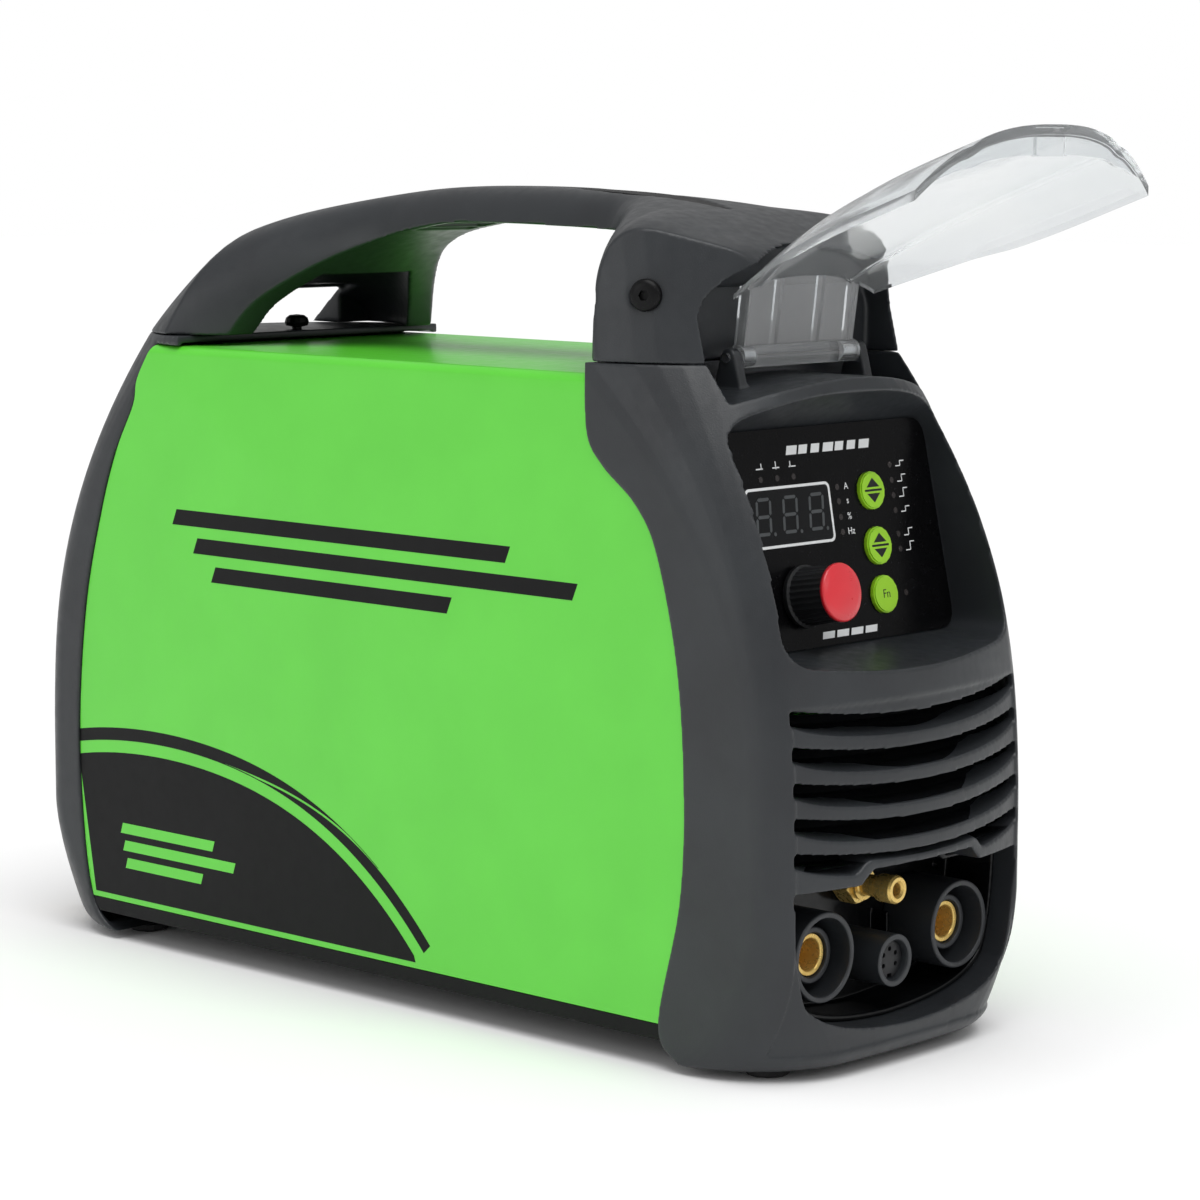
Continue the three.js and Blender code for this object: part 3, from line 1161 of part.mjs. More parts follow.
function addCase() {
  addPiece("front_housing", join(frontHousing(), hingeLug(-1), hingeLug(1)), charcoal);
  addPiece("rear_housing", rearHousing(), charcoal);
  addPiece("handle", handle(), charcoal);
  addPiece("grip_inlay", gripInlay(), rubber);
  addPiece("metal_cover", metalCover(), green);
  addPiece("base_tray", join(baseTray(), ...trayPosts()), satinBlack);
  addPiece("strap_stud", strapStud(), satinBlack);
  for (const [side, sign] of Object.entries(sides)) {
    addPiece(`handle_screw_${side}`, handleScrew(sign), satinBlack);
    addPiece(`foot_front_${side}`, foot(sign * FOOT.x, FOOT.frontY), rubber);
    addPiece(`foot_rear_${side}`, foot(sign * FOOT.x, FOOT.rearY), rubber);
  }
}

function addClearCover() {
  addPiece("clear_cover", clearCover(), clear);
  for (const [side, sign] of Object.entries(sides)) {
    addPiece(`hinge_pin_${side}`, hingePin(sign), steel);
  }
}

function addPanel() {
  addPiece("control_membrane", membrane(), black);
  addPiece("display_window", displayWindow(), black);
  addPiece("display_module", displayModule(), satinBlack);
  addPiece("control_board", controlBoard(), board);
  for (const [name, v] of Object.entries(BUTTON_PLACES)) {
    addPiece(name, button(v), lime);
  }
  addPiece("encoder_body", encoderBody(), steel);
  addPiece("encoder_shaft", encoderShaft(), steel);
  addPiece("encoder_knob", encoderKnob(), satinBlack);
  addPiece("knob_cap", knobCap(), red);
}

function addConnectors() {
  addPiece("connector_panel", connectorPanel(), black);
  for (const [pole, side] of Object.entries({ positive: -1, negative: 1 })) {
    addPiece(`${pole}_socket_collar`, socketCollar(side), charcoal);
    addPiece(`${pole}_socket_insert`, socketInsert(side), brass);
    addPiece(`${pole}_busbar`, busbar(side), copper);
  }
  addPiece("control_socket_shell", controlSocketShell(), charcoal);
  addPiece("control_socket_insert", controlSocketInsert(), satinBlack);
  addPiece("gas_outlet_fitting", gasOutlet(), brass);
}

function addRear() {
  addPiece("power_switch_frame", switchFrame(), satinBlack);
  addPiece("power_switch_rocker", switchRocker(), satinBlack);
  addPiece("cable_gland", cableGland(), satinBlack);
  addPiece("gas_inlet_fitting", gasInlet(), brass);
  addPiece("fan_frame", fanFrame(), satinBlack);
  addPiece("fan_rotor", fanRotor(), satinBlack);
}

function addInside() {
  addPiece("main_board", mainBoard(), board);
  addPiece("heat_sink_left", heatSink(-1), aluminium);
  addPiece("heat_sink_right", heatSink(1), aluminium);
  addPiece("main_transformer", transformer(), ferrite);
  addPiece("output_choke", outputChoke(), copper);
  addPiece("rectifier_module", rectifier(), satinBlack);
  addPiece("hf_coil", hfCoil(), ferrite);
  addPiece("gas_valve", gasValve(), steel);
  addPiece("gas_hose_inlet", inletHose(), hose);
  addPiece("gas_hose_outlet", outletHose(), hose);
  [-36, 0, 36].forEach((x, i) => addPiece(`bulk_capacitor_${i + 1}`, capacitor(x), blueSleeve));
}

addCase();
addClearCover();
addPanel();
addConnectors();
addRear();
addInside();

const extent = new THREE.Box3().setFromObject(machine);
machine.position.y = -(extent.min.y + extent.max.y) / 2;

const part = new THREE.Group();
part.add(machine);
export default part;
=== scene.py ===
"""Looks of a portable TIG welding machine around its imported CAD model.

Lengths here are in millimetres in the part's own frame (+X right, +Y back, +Z up) and turn into metres where
a mesh is made. Places come from the CAD nodes' boxes and joints.
"""

import json
import math

import bmesh
import bpy
import numpy as np
from mathutils import Matrix, Vector


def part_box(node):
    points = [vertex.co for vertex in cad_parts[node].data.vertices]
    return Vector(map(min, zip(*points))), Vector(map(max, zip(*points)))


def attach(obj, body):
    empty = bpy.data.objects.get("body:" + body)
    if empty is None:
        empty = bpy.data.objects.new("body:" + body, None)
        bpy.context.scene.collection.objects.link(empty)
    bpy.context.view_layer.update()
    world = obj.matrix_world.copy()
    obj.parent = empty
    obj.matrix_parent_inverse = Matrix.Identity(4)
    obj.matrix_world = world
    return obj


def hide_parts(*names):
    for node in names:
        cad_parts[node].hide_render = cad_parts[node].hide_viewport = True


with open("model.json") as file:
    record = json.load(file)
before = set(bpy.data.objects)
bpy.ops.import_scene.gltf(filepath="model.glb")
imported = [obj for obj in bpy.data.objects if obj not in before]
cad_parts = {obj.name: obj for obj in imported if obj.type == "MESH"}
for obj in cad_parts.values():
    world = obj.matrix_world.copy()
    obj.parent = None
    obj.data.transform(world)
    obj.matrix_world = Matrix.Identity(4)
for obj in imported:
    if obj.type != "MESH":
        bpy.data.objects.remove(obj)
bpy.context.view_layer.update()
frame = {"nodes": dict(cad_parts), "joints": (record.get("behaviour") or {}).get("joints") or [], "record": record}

MM = 0.001
X_AXIS, Y_AXIS, Z_AXIS = Vector((1, 0, 0)), Vector((0, 1, 0)), Vector((0, 0, 1))


# ---------------------------------------------------------------- places taken from the frame
def node_box(node):
    low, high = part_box(node)
    return low / MM, high / MM


def node_middle(node):
    return [(low + high) / 2 for low, high in zip(*node_box(node))]


joints = {joint["name"]: joint for joint in frame["joints"]}
HINGE = Vector(joints["cover_hinge"]["pos_m"]) / MM
KNOB_BASE = Vector(joints["knob_spin"]["pos_m"]) / MM
PANEL_OUT = Vector(joints["knob_spin"]["axis"]).normalized()
PANEL_UP = PANEL_OUT.cross(X_AXIS)
FAN_CENTRE = Vector(joints["fan_spin"]["pos_m"]) / MM
HALF_WIDTH = node_box("front_housing")[1].x
FOOT_HEIGHT = node_box("front_housing")[0].z
FRONT_Y = HINGE.y - 60
REAR_Y = node_box("rear_housing")[1].y
SEAM_Z = HINGE.z - 2
COVER_LOW, COVER_HIGH = node_box("metal_cover")
SOCKET_X, _, SOCKET_Z = node_middle("negative_socket_insert")
SOCKET_FACE_Y = node_box("negative_socket_collar")[0].y
CONTROL_Z = node_middle("control_socket_insert")[2]
GAS_Z = node_middle("gas_outlet_fitting")[2]

KNOB_U, KNOB_V = -25.8, -23.5
PANEL_ORIGIN = KNOB_BASE - X_AXIS * KNOB_U - PANEL_UP * KNOB_V
HALF_TURN = math.pi
FAR = 400


def frame_matrix(across, up, out, origin):
    """Matrix that takes (across, up, out) coordinates to the part's own."""
    matrix = Matrix((across, up, out)).transposed().to_4x4()
    matrix.translation = origin
    return matrix


PANEL = frame_matrix(X_AXIS, PANEL_UP, PANEL_OUT, PANEL_ORIGIN)


def facing_front(x, y, z):
    return frame_matrix(X_AXIS, Z_AXIS, -Y_AXIS, Vector((x, y, z)))


def facing_back(x, y, z):
    return frame_matrix(-X_AXIS, Z_AXIS, Y_AXIS, Vector((x, y, z)))


# ---------------------------------------------------------------- mesh tools
def linked(name, data):
    """A new object in the scene."""
    made = bpy.data.objects.new(name, data)
    bpy.context.scene.collection.objects.link(made)
    return made


def new_object(name, vertices, faces, matrix=None):
    """A mesh object whose vertices are given in millimetres, with its faces turned outwards."""
    mesh = bpy.data.meshes.new(name)
    mesh.from_pydata([tuple(point) for point in vertices], [], faces)
    if matrix:
        mesh.transform(matrix)
    mesh.transform(Matrix.Scale(MM, 4))
    shape = bmesh.new()
    shape.from_mesh(mesh)
    bmesh.ops.remove_doubles(shape, verts=shape.verts, dist=1e-7)
    bmesh.ops.recalc_face_normals(shape, faces=shape.faces)
    shape.to_mesh(mesh)
    shape.free()
    return linked(name, mesh)


def loft(name, rings, matrix=None):
    """A closed solid through rings of equally many points."""
    rings = np.asarray(rings, float)
    count, size = rings.shape[:2]
    index = np.arange(count * size).reshape(count, size)
    after = np.roll(index, -1, axis=1)
    faces = []
    for ring in range(count - 1):
        for side in range(size):
            faces.append((index[ring, side], after[ring, side], after[ring + 1, side], index[ring + 1, side]))
    faces.append(tuple(index[0][::-1]))
    faces.append(tuple(index[-1]))
    return new_object(name, rings.reshape(-1, 3), faces, matrix)


def prism(name, outline, low, high, matrix=None):
    """A 2-D outline drawn out from low to high along its third axis."""
    rings = [[(a, b, level) for a, b in outline] for level in (low, high)]
    return loft(name, rings, matrix)


def along_x(name, outline, low, high):
    """A (y, z) outline drawn out from x = low to x = high."""
    return prism(name, outline, low, high, frame_matrix(Y_AXIS, Z_AXIS, X_AXIS, Vector()))


def along_y(name, outline, low, high):
    """An (x, z) outline drawn out from y = low to y = high."""
    return prism(name, outline, -high, -low, facing_front(0, 0, 0))


def block(name, low, high):
    outline = [(low[0], low[1]), (high[0], low[1]), (high[0], high[1]), (low[0], high[1])]
    return prism(name, outline, low[2], high[2])


def arc(radius, start, end, steps, centre=(0, 0)):
    angles = np.linspace(start, end, steps + 1)
    return [(centre[0] + radius * math.cos(a), centre[1] + radius * math.sin(a)) for a in angles]


def circle(radius, steps=32, centre=(0, 0)):
    return arc(radius, 0, 2 * HALF_TURN, steps, centre)[:-1]


def rounded(half_width, half_height, radius, centre=(0, 0), steps=6):
    points = []
    for quarter, (side, end) in enumerate(((1, 1), (-1, 1), (-1, -1), (1, -1))):
        corner = (centre[0] + side * (half_width - radius), centre[1] + end * (half_height - radius))
        points += arc(radius, quarter * HALF_TURN / 2, (quarter + 1) * HALF_TURN / 2, steps, corner)
    return points


def hexagon(flats, centre=(0, 0), turn=0.0):
    return arc(flats / math.sqrt(3), turn, turn + 2 * HALF_TURN, 6, centre)[:-1]


def lathe(name, profile, matrix, steps=48):
    """A (radius, height) profile turned about the third axis: a closed loop, or a line from axis to axis."""
    vertices, faces = [], []
    count = len(profile)
    for step in range(steps):
        angle = 2 * HALF_TURN * step / steps
        vertices += [(r * math.cos(angle), r * math.sin(angle), h) for r, h in profile]
    closed = profile[0][0] > 0
    spans = count if closed else count - 1
    for step in range(steps):
        here, there = step * count, ((step + 1) % steps) * count
        for i in range(spans):
            j = (i + 1) % count
            faces.append((here + i, there + i, there + j, here + j))
    return new_object(name, vertices, faces, matrix)


def apply_modifiers(piece):
    evaluated = piece.evaluated_get(bpy.context.evaluated_depsgraph_get())
    mesh = bpy.data.meshes.new_from_object(evaluated)
    piece.modifiers.clear()
    piece.data = mesh
    return piece


def combine(operation, base, tools):
    for tool in tools:
        modifier = base.modifiers.new(operation.lower(), "BOOLEAN")
        modifier.operation = operation
        modifier.solver = "MANIFOLD"
        modifier.object = tool
    apply_modifiers(base)
    for tool in tools:
        bpy.data.objects.remove(tool)
    return base


def join(base, *tools):
    return combine("UNION", base, tools)


def cut(base, *tools):
    return combine("DIFFERENCE", base, tools)


def meet(base, *tools):
    return combine("INTERSECT", base, tools)


def moulded(piece, grain=0.9, passes=5, keep=1.0):
    """Rounds every edge, as on a moulding: an even mesh, smoothed, then thinned to a share of its faces."""
    remesh = piece.modifiers.new("even", "REMESH")
    remesh.mode = "VOXEL"
    remesh.voxel_size = grain * MM
    smooth = piece.modifiers.new("round", "SMOOTH")
    smooth.factor = 0.5
    smooth.iterations = passes
    if keep < 1:
        thin = piece.modifiers.new("thin", "DECIMATE")
        thin.ratio = keep
    apply_modifiers(piece)
    piece.data.shade_smooth()
    return piece


def smooth_shaded(piece, angle):
    """Smooth shading, with edges sharper than the angle kept."""
    piece.data.shade_smooth()
    piece.data.set_sharp_from_angle(angle=math.radians(angle))
    return piece


def eased(piece, width=0.4, segments=2, angle=30):
    """Small round edges and smooth shading between them."""
    bevel = piece.modifiers.new("edges", "BEVEL")
    bevel.width = width * MM
    bevel.segments = segments
    bevel.limit_method = "ANGLE"
    bevel.angle_limit = math.radians(angle)
    bevel.harden_normals = True
    return smooth_shaded(piece, angle)


def merged(name, pieces):
    """Several objects as one."""
    shape = bmesh.new()
    for piece in pieces:
        shape.from_mesh(piece.data)
        bpy.data.objects.remove(piece)
    mesh = bpy.data.meshes.new(name)
    shape.to_mesh(mesh)
    shape.free()
    return linked(name, mesh)


def smooth_line(points, per_span):
    """A smooth line through points, as many short straight steps to each span."""
    points = [np.array(point, float) for point in points]
    line = []
    for i in range(len(points) - 1):
        before = points[max(i - 1, 0)]
        start, end = points[i], points[i + 1]
        after = points[min(i + 2, len(points) - 1)]
        for step in range(per_span):
            t = step / per_span
            tangent_in, tangent_out = (end - before) / 2, (after - start) / 2
            line.append(
                (2 * t**3 - 3 * t**2 + 1) * start
                + (t**3 - 2 * t**2 + t) * tangent_in
                + (3 * t**2 - 2 * t**3) * end
                + (t**3 - t**2) * tangent_out
            )
    line.append(points[-1])
    return [tuple(point) for point in line]


def smoothstep(share):
    share = min(1.0, max(0.0, share))
    return share * share * (3 - 2 * share)


# ---------------------------------------------------------------- outer form of the plastic housings
LEAN_FROM_Z = 90
END_LEAN = 35
CORNER = 12
BULGE = 13
WALL = 3
BOTTOM_FILLET = 8
FRONT_INNER_Y = FRONT_Y + 112
REAR_INNER_Y = REAR_Y - 110


def lean(z):
    return END_LEAN * (max(0, z - LEAN_FROM_Z) / (SEAM_Z - LEAN_FROM_Z)) ** 2


def corner_radius(z):
    low = 38 * (max(0, 60 - z) / 60) ** 1.5
    high = 60 * (max(0, z - 130) / (SEAM_Z - 130)) ** 2.2
    return CORNER + low + high


def bottom_fillet(z):
    below = max(0, FOOT_HEIGHT + BOTTOM_FILLET - z)
    return BOTTOM_FILLET - math.sqrt(BOTTOM_FILLET**2 - below**2)


def bulge(z):
    return BULGE * min(1, (z + 10) / 50) * min(1, max(0.35, (SEAM_Z + 20 - z) / 120))


def end_ring(z, facing, inset=0.0, corner_steps=12, face_steps=24):
    """One level of an end's outer form, front (facing -1) or rear (facing 1)."""
    side = HALF_WIDTH - inset
    radius = max(1, corner_radius(z) - inset)
    end_y = (-FRONT_Y if facing < 0 else REAR_Y) - lean(z) - bottom_fillet(z) - inset
    inner_y = abs(FRONT_INNER_Y if facing < 0 else REAR_INNER_Y)
    bow = bulge(z) if facing < 0 else 0
    half = arc(radius, 0, HALF_TURN / 2, corner_steps, (side - radius, end_y - radius))
    for step in range(1, face_steps // 2 + 1):
        half.append(((side - radius) * (1 - step / (face_steps / 2)), end_y))
    half = [(side, inner_y)] + [(x, y + bow * (1 - (x / HALF_WIDTH) ** 2)) for x, y in half]
    ring = half + [(-x, y) for x, y in half[-2::-1]]
    return [(x, facing * y, z) for x, y in ring]


def end_form(name, facing, inset, bottom_z, top_z, steps=56):
    low = np.linspace(bottom_z, bottom_z + BOTTOM_FILLET, 7)
    rest = np.linspace(bottom_z + BOTTOM_FILLET, top_z, steps)[1:]
    return loft(name, [end_ring(z, facing, inset) for z in [*low, *rest]])


# Edge between a housing and the metal cover, as (distance in from the end, height), top to bottom.
FRONT_EDGE = [
    (101, SEAM_Z), (100, SEAM_Z - 28), (91, SEAM_Z - 41), (73.5, SEAM_Z - 55), (62, SEAM_Z - 74),
    (51, SEAM_Z - 118), (47, 112), (49, 68), (60, 18.5), (50, 4.5), (38, FOOT_HEIGHT),
]
REAR_EDGE = [
    (82, SEAM_Z), (79, SEAM_Z - 5), (69, SEAM_Z - 20), (66, SEAM_Z - 32), (54, SEAM_Z - 53),
    (43, SEAM_Z - 81), (31, SEAM_Z - 125), (25, 100), (27, 50), (33, 18.5), (44, 6), (56, FOOT_HEIGHT),
]


def end_slab(facing, away=0.0):
    """Everything between an end and its edge line, as a slab across the body."""
    edge = FRONT_EDGE if facing < 0 else REAR_EDGE
    end_y = FRONT_Y if facing < 0 else REAR_Y
    line = smooth_line([(end_y - facing * (inward + away), z) for inward, z in edge], 6)
    outline = [(line[0][0], FAR), *line, (line[-1][0], -1), (facing * FAR, -1), (facing * FAR, FAR)]
    return along_x("end_slab", outline, -FAR, FAR)


# ---------------------------------------------------------------- control recess
PANEL_HALF_HEIGHT = 44.2
PANEL_HALF_BOTTOM = HALF_WIDTH - 11.7
PANEL_HALF_TOP = HALF_WIDTH - 16
MOUTH_N = 44
REACH_N = 75


def panel_outline(half_bottom, half_top, bottom, top, radius, bow=0.0, corner_steps=8, edge_steps=14):
    """A four-sided outline with rounded corners, whose top and bottom edges may bow outwards."""
    right = [(half_bottom, bottom), (half_top, top)]
    corners = [Vector(corner) for corner in (*right, (-half_top, top), (-half_bottom, bottom))]
    points = []
    for i, corner in enumerate(corners):
        before, after = corners[i - 1], corners[(i + 1) % 4]
        start = corner + (before - corner).normalized() * radius
        end = corner + (after - corner).normalized() * radius
        next_start = after + (corner - after).normalized() * radius
        for t in np.linspace(0, 1, corner_steps + 1):
            points.append(start * (1 - t) ** 2 + corner * 2 * t * (1 - t) + end * t**2)
        points += [end.lerp(next_start, t) for t in np.linspace(0, 1, edge_steps + 1)[1:-1]]
    bowed = []
    for point in points:
        share = 1 - min(1, (point.x / half_bottom) ** 2)
        lift = bow * (point.y / top) if point.y > 0 else -bow * (point.y / bottom)
        bowed.append((point.x, point.y + share * lift))
    return bowed


def recess(away=0.0):
    floor = panel_outline(
        PANEL_HALF_BOTTOM + 0.5 + away, PANEL_HALF_TOP + 0.5 + away,
        -PANEL_HALF_HEIGHT - 0.5 - away, PANEL_HALF_HEIGHT + 0.5 + away, 9,
    )
    mouth = panel_outline(
        PANEL_HALF_BOTTOM + 2.2 + away, PANEL_HALF_TOP + 2 + away,
        -PANEL_HALF_HEIGHT - 7.8 - away, PANEL_HALF_HEIGHT + 12.8 + away, 16, bow=7,
    )
    rings = []
    for n in (-away, 0, 8, 20, 32, MOUTH_N, 60, REACH_N):
        share = n / MOUTH_N
        rings.append([(a + (c - a) * share, b + (d - b) * share, n) for (a, b), (c, d) in zip(floor, mouth)])
    return loft("recess", rings, PANEL)


# ---------------------------------------------------------------- hinge pocket and connector bay
POCKET_HALF = HALF_WIDTH - 21
POCKET_BACK_Y = HINGE.y + 12


def pocket(away=0.0):
    half = POCKET_HALF + away
    floor = [(x, SEAM_Z - 6 - away - 9 * (x / half) ** 2) for x in np.linspace(-half, half, 25)]
    turn = np.linspace(0, HALF_TURN, 37)
    arch = [(half * math.cos(a), SEAM_Z + 16 + (30 + away) * math.sin(a)) for a in turn]
    column = along_y("pocket", floor + arch, -FAR, 0)
    back = POCKET_BACK_Y + away
    side = smooth_line([(back, 0), (back, SEAM_Z + 8), (back - 6, SEAM_Z + 30), (back - 22, SEAM_Z + 60)], 8)
    return meet(column, along_x("pocket_side", [(-FAR, 0), *side, (back - 22, FAR), (-FAR, FAR)], -FAR, FAR))


BAY_HALF = HALF_WIDTH - 11
BAY_BOTTOM_Z, BAY_TOP_Z, BAY_RISE = 17, 78, 6
BAY_BACK_Y = FRONT_Y + 34
PLATE_FRONT_Y = BAY_BACK_Y - 2.4


def quadratic(start, control, end, steps=12):
    start, control, end = Vector(start), Vector(control), Vector(end)
    shares = np.linspace(0, 1, steps + 1)
    return [tuple(start * (1 - t) ** 2 + control * 2 * t * (1 - t) + end * t * t) for t in shares]


def bay_outline(away=0.0):
    half, bottom, top = BAY_HALF + away, BAY_BOTTOM_Z - away, BAY_TOP_Z + away
    right = quadratic((0, bottom), (half * 0.72, bottom + 1), (half * 0.9, bottom + 15))
    right += quadratic((half * 0.9, bottom + 15), (half * 0.99, bottom + 26), (half + 1, top))[1:]
    right += [(38 + away, top), (31 + away, top + BAY_RISE)]
    left = [(-x, z) for x, z in right[:0:-1]]
    return right + left


# ---------------------------------------------------------------- housings
LOUVRE_HALF = HALF_WIDTH - 10
LOUVRE_TOP_Z, LOUVRE_PITCH, LOUVRE_GAP, LOUVRE_COUNT = 144.5, 13.6, 8.2, 5
LOUVRE_SMILE = 2.6


def louvre_lift(x):
    """How far a louvre rail turns up at a place across."""
    return LOUVRE_SMILE * (x / LOUVRE_HALF) ** 2 - 0.8


def louvre_slots():
    """Openings between the louvre rails: they climb inwards, and their ends turn up a little."""
    slots = []
    for i in range(LOUVRE_COUNT):
        top = LOUVRE_TOP_Z - i * LOUVRE_PITCH
        rings = []
        for x in np.linspace(-LOUVRE_HALF, LOUVRE_HALF, 49):
            lift = louvre_lift(x)
            front, back = FRONT_Y - BULGE - 5, FRONT_Y + 8
            gap = LOUVRE_GAP * (1 - 0.35 * (x / LOUVRE_HALF) ** 8)
            if i == LOUVRE_COUNT - 1:
                gap = 2.4 + (gap - 2.4) * smoothstep((abs(x) - 33) / 8)
            rings.append([
                (x, front, top - gap - 2 + lift), (x, back, top - gap + 5 + lift),
                (x, back, top + 5 + lift), (x, front, top - 2 + lift),
            ])
        slots.append(loft("louvre_slot", rings))
    return slots


def hinge_lug(side):
    half_length, width = 36.8, 5
    outline = [(HINGE.y - 9, SEAM_Z - 16), (HINGE.y + 9, SEAM_Z - 16), (HINGE.y + 4, HINGE.z)]
    outline += arc(3.8, 0, HALF_TURN, 12, (HINGE.y, HINGE.z))
    outline += [(HINGE.y - 4, HINGE.z)]
    low = half_length if side > 0 else -half_length - width
    return along_x("hinge_lug", outline, low, low + width)


def face_step():
    """A thin layer off the face round the louvres and the bay, inside a frame left at the sides."""
    half = HALF_WIDTH - 10.5
    layer = block("face", (-half, -FAR, BAY_BOTTOM_Z - 6), (half, 0, PANEL_ORIGIN.z - 60))
    return cut(layer, end_form("under_face", -1, 1.1, FOOT_HEIGHT, SEAM_Z))


def face_y(x, z):
    """How far forward the front housing's outer form is at a place across and a height."""
    ring = sorted(end_ring(z, -1)[1:-1])
    return np.interp(x, [point[0] for point in ring], [point[1] for point in ring])


def louvre_slats():
    """Glossy black slats between the rails: each climbs inwards and turns up behind the rail above."""
    slats = []
    for i in range(LOUVRE_COUNT):
        top = LOUVRE_TOP_Z - i * LOUVRE_PITCH
        rings = []
        for x in np.linspace(-LOUVRE_HALF - 1, LOUVRE_HALF + 1, 33):
            lift = louvre_lift(x)
            face = face_y(x, top)
            foot = top - LOUVRE_GAP + lift
            steps = ((2, 0.4), (9, 2.8), (13, 5.4), (14.5, 8.6))
            line = [(face + inward, foot + climb) for inward, climb in steps]
            if i == LOUVRE_COUNT - 1:
                line = [(y, max(z, BAY_TOP_Z + BAY_RISE + 3)) for y, z in line]
            rings.append([(x, y, z) for y, z in line] + [(x, y + 1.2, z - 0.6) for y, z in line[::-1]])
        slats.append(loft("slat", rings))
    return merged("louvre_slats", slats)


def front_housing():
    shell = end_form("front_housing_shell", -1, 0, FOOT_HEIGHT, SEAM_Z)
    meet(shell, end_slab(-1))
    cut(shell, face_step())
    hollow = end_form("hollow", -1, WALL, FOOT_HEIGHT + WALL, SEAM_Z - WALL, 40)
    half = LOUVRE_HALF + 3
    louvre_back = block("louvre_back", (-half, -FAR, BAY_TOP_Z), (half, FRONT_Y + 4, PANEL_ORIGIN.z - 58))
    bay_block = along_y("bay_block", bay_outline(WALL), -FAR, BAY_BACK_Y)
    cut(hollow, recess(WALL), pocket(WALL), louvre_back, bay_block)
    bay = along_y("bay", bay_outline(), -FAR, BAY_BACK_Y + 1)
    cut(shell, hollow, recess(), pocket(), bay, *louvre_slots())
    join(shell, hinge_lug(-1), hinge_lug(1))
    return moulded(shell, grain=0.7, passes=5, keep=0.35)


INLET_X, INLET_Z = 46, 32


def rear_louvres():
    half = 56
    slots = []
    for i in range(8):
        z = FAN_CENTRE.z - half + 4 + i * 14.4
        outline = [(FAR, z), (FAR, z + 7), (REAR_Y - 30, z + 10), (REAR_Y - 30, z + 3)]
        slots.append(along_x("rear_slot", outline, -half, half))
    return slots


def rear_housing():
    shell = end_form("rear_housing_shell", 1, 0, FOOT_HEIGHT, SEAM_Z)
    lip = block("lip", (-FAR, REAR_Y - 98, COVER_HIGH.z + 0.4), (FAR, REAR_Y - 68, SEAM_Z + 1))
    meet(shell, join(end_slab(1), lip))
    hollow = end_form("hollow", 1, WALL, FOOT_HEIGHT + WALL, SEAM_Z - WALL, 40)
    switch_z = node_middle("power_switch_rocker")[2]
    switch_hole = along_y("switch_hole", rounded(12.5, 17, 2, (0, switch_z)), 0, FAR)
    gland_hole = along_y("gland_hole", circle(8.6, 24, (INLET_X, INLET_Z)), 0, FAR)
    gas_hole = along_y("gas_hole", circle(5.6, 24, (-INLET_X, INLET_Z)), 0, FAR)
    cut(shell, hollow, *rear_louvres(), switch_hole, gland_hole, gas_hole)
    return moulded(shell, grain=1.0, passes=4, keep=0.4)


def metal_cover():
    half, top, bend, sheet = COVER_HIGH.x, COVER_HIGH.z, 4, 1.5

    def hoop(inset):
        right = [(half - inset, COVER_LOW.z - inset)]
        right += arc(bend - inset, 0, HALF_TURN / 2, 8, (half - bend, top - bend))
        outline = right + [(-x, z) for x, z in right[::-1]]
        return along_y("hoop", outline, FRONT_Y + 20, REAR_Y - 10)

    shell = cut(hoop(0), hoop(sheet), end_slab(-1, 0.4), end_slab(1, 0.4))
    shell.name = "metal_cover_shell"
    return smooth_shaded(shell, 25)


# ---------------------------------------------------------------- handle
HANDLE_RISE = 67
GRIP_HALF = 27
GRIP_THICKNESS = 15.5
HANDLE_WALL = 4
LEG = 16
PEAK_Y = (FRONT_Y + REAR_Y) / 2 - 24
GAP = 0.4

# Top of the handle from front to rear, as (y, height above the seam).
HANDLE_TOP = [
    (FRONT_Y + END_LEAN - 1, -1), (FRONT_Y + END_LEAN + 3, 18), (FRONT_Y + 47, 40),
    (FRONT_Y + 66, HANDLE_RISE - 17), (FRONT_Y + 95, HANDLE_RISE - 8), (FRONT_Y + 135, HANDLE_RISE - 2.5),
    (PEAK_Y, HANDLE_RISE),
    (REAR_Y - 186, HANDLE_RISE - 2), (REAR_Y - 121, HANDLE_RISE - 11.5), (REAR_Y - 87, HANDLE_RISE - 22),
    (REAR_Y - 56, HANDLE_RISE - 38), (REAR_Y - 38, HANDLE_RISE - 58), (REAR_Y - 34, -1),
]


def handle_top_line(lower=0.0):
    return smooth_line([(y, SEAM_Z + rise - lower) for y, rise in HANDLE_TOP], 8)


def rear_share(y):
    return smoothstep((y - (REAR_Y - 178)) / 108)


def head_share(y):
    return 1 - smoothstep((y - (FRONT_Y + 92)) / 52)


def handle_half_width(y):
    return GRIP_HALF + (HALF_WIDTH - GRIP_HALF) * max(head_share(y), rear_share(y))


def handle_stretch(name, from_y, to_y, steps, inset, lower):
    """A level stretch of handle: cross-sections with round shoulders that turn into domes at the rear."""
    line = np.array(handle_top_line(lower))
    rings = []
    for y in np.linspace(from_y, to_y, steps + 1):
        half = handle_half_width(y) - inset
        rise = max(2, np.interp(y, line[:, 0], line[:, 1]) - SEAM_Z)
        squareness = 1 - smoothstep((y - (FRONT_Y + 76)) / 28)
        power = 2 / (3.4 - 1.1 * rear_share(y) + 4 * squareness)
        over = []
        for a in np.linspace(HALF_TURN, 0, 49):
            across = math.copysign(abs(math.cos(a)) ** power, math.cos(a))
            over.append((half * across, y, SEAM_Z + rise * max(0, math.sin(a)) ** power))
        rings.append([(-half, y, SEAM_Z - 2), *over, (half, y, SEAM_Z - 2)])
    return loft(name, rings)


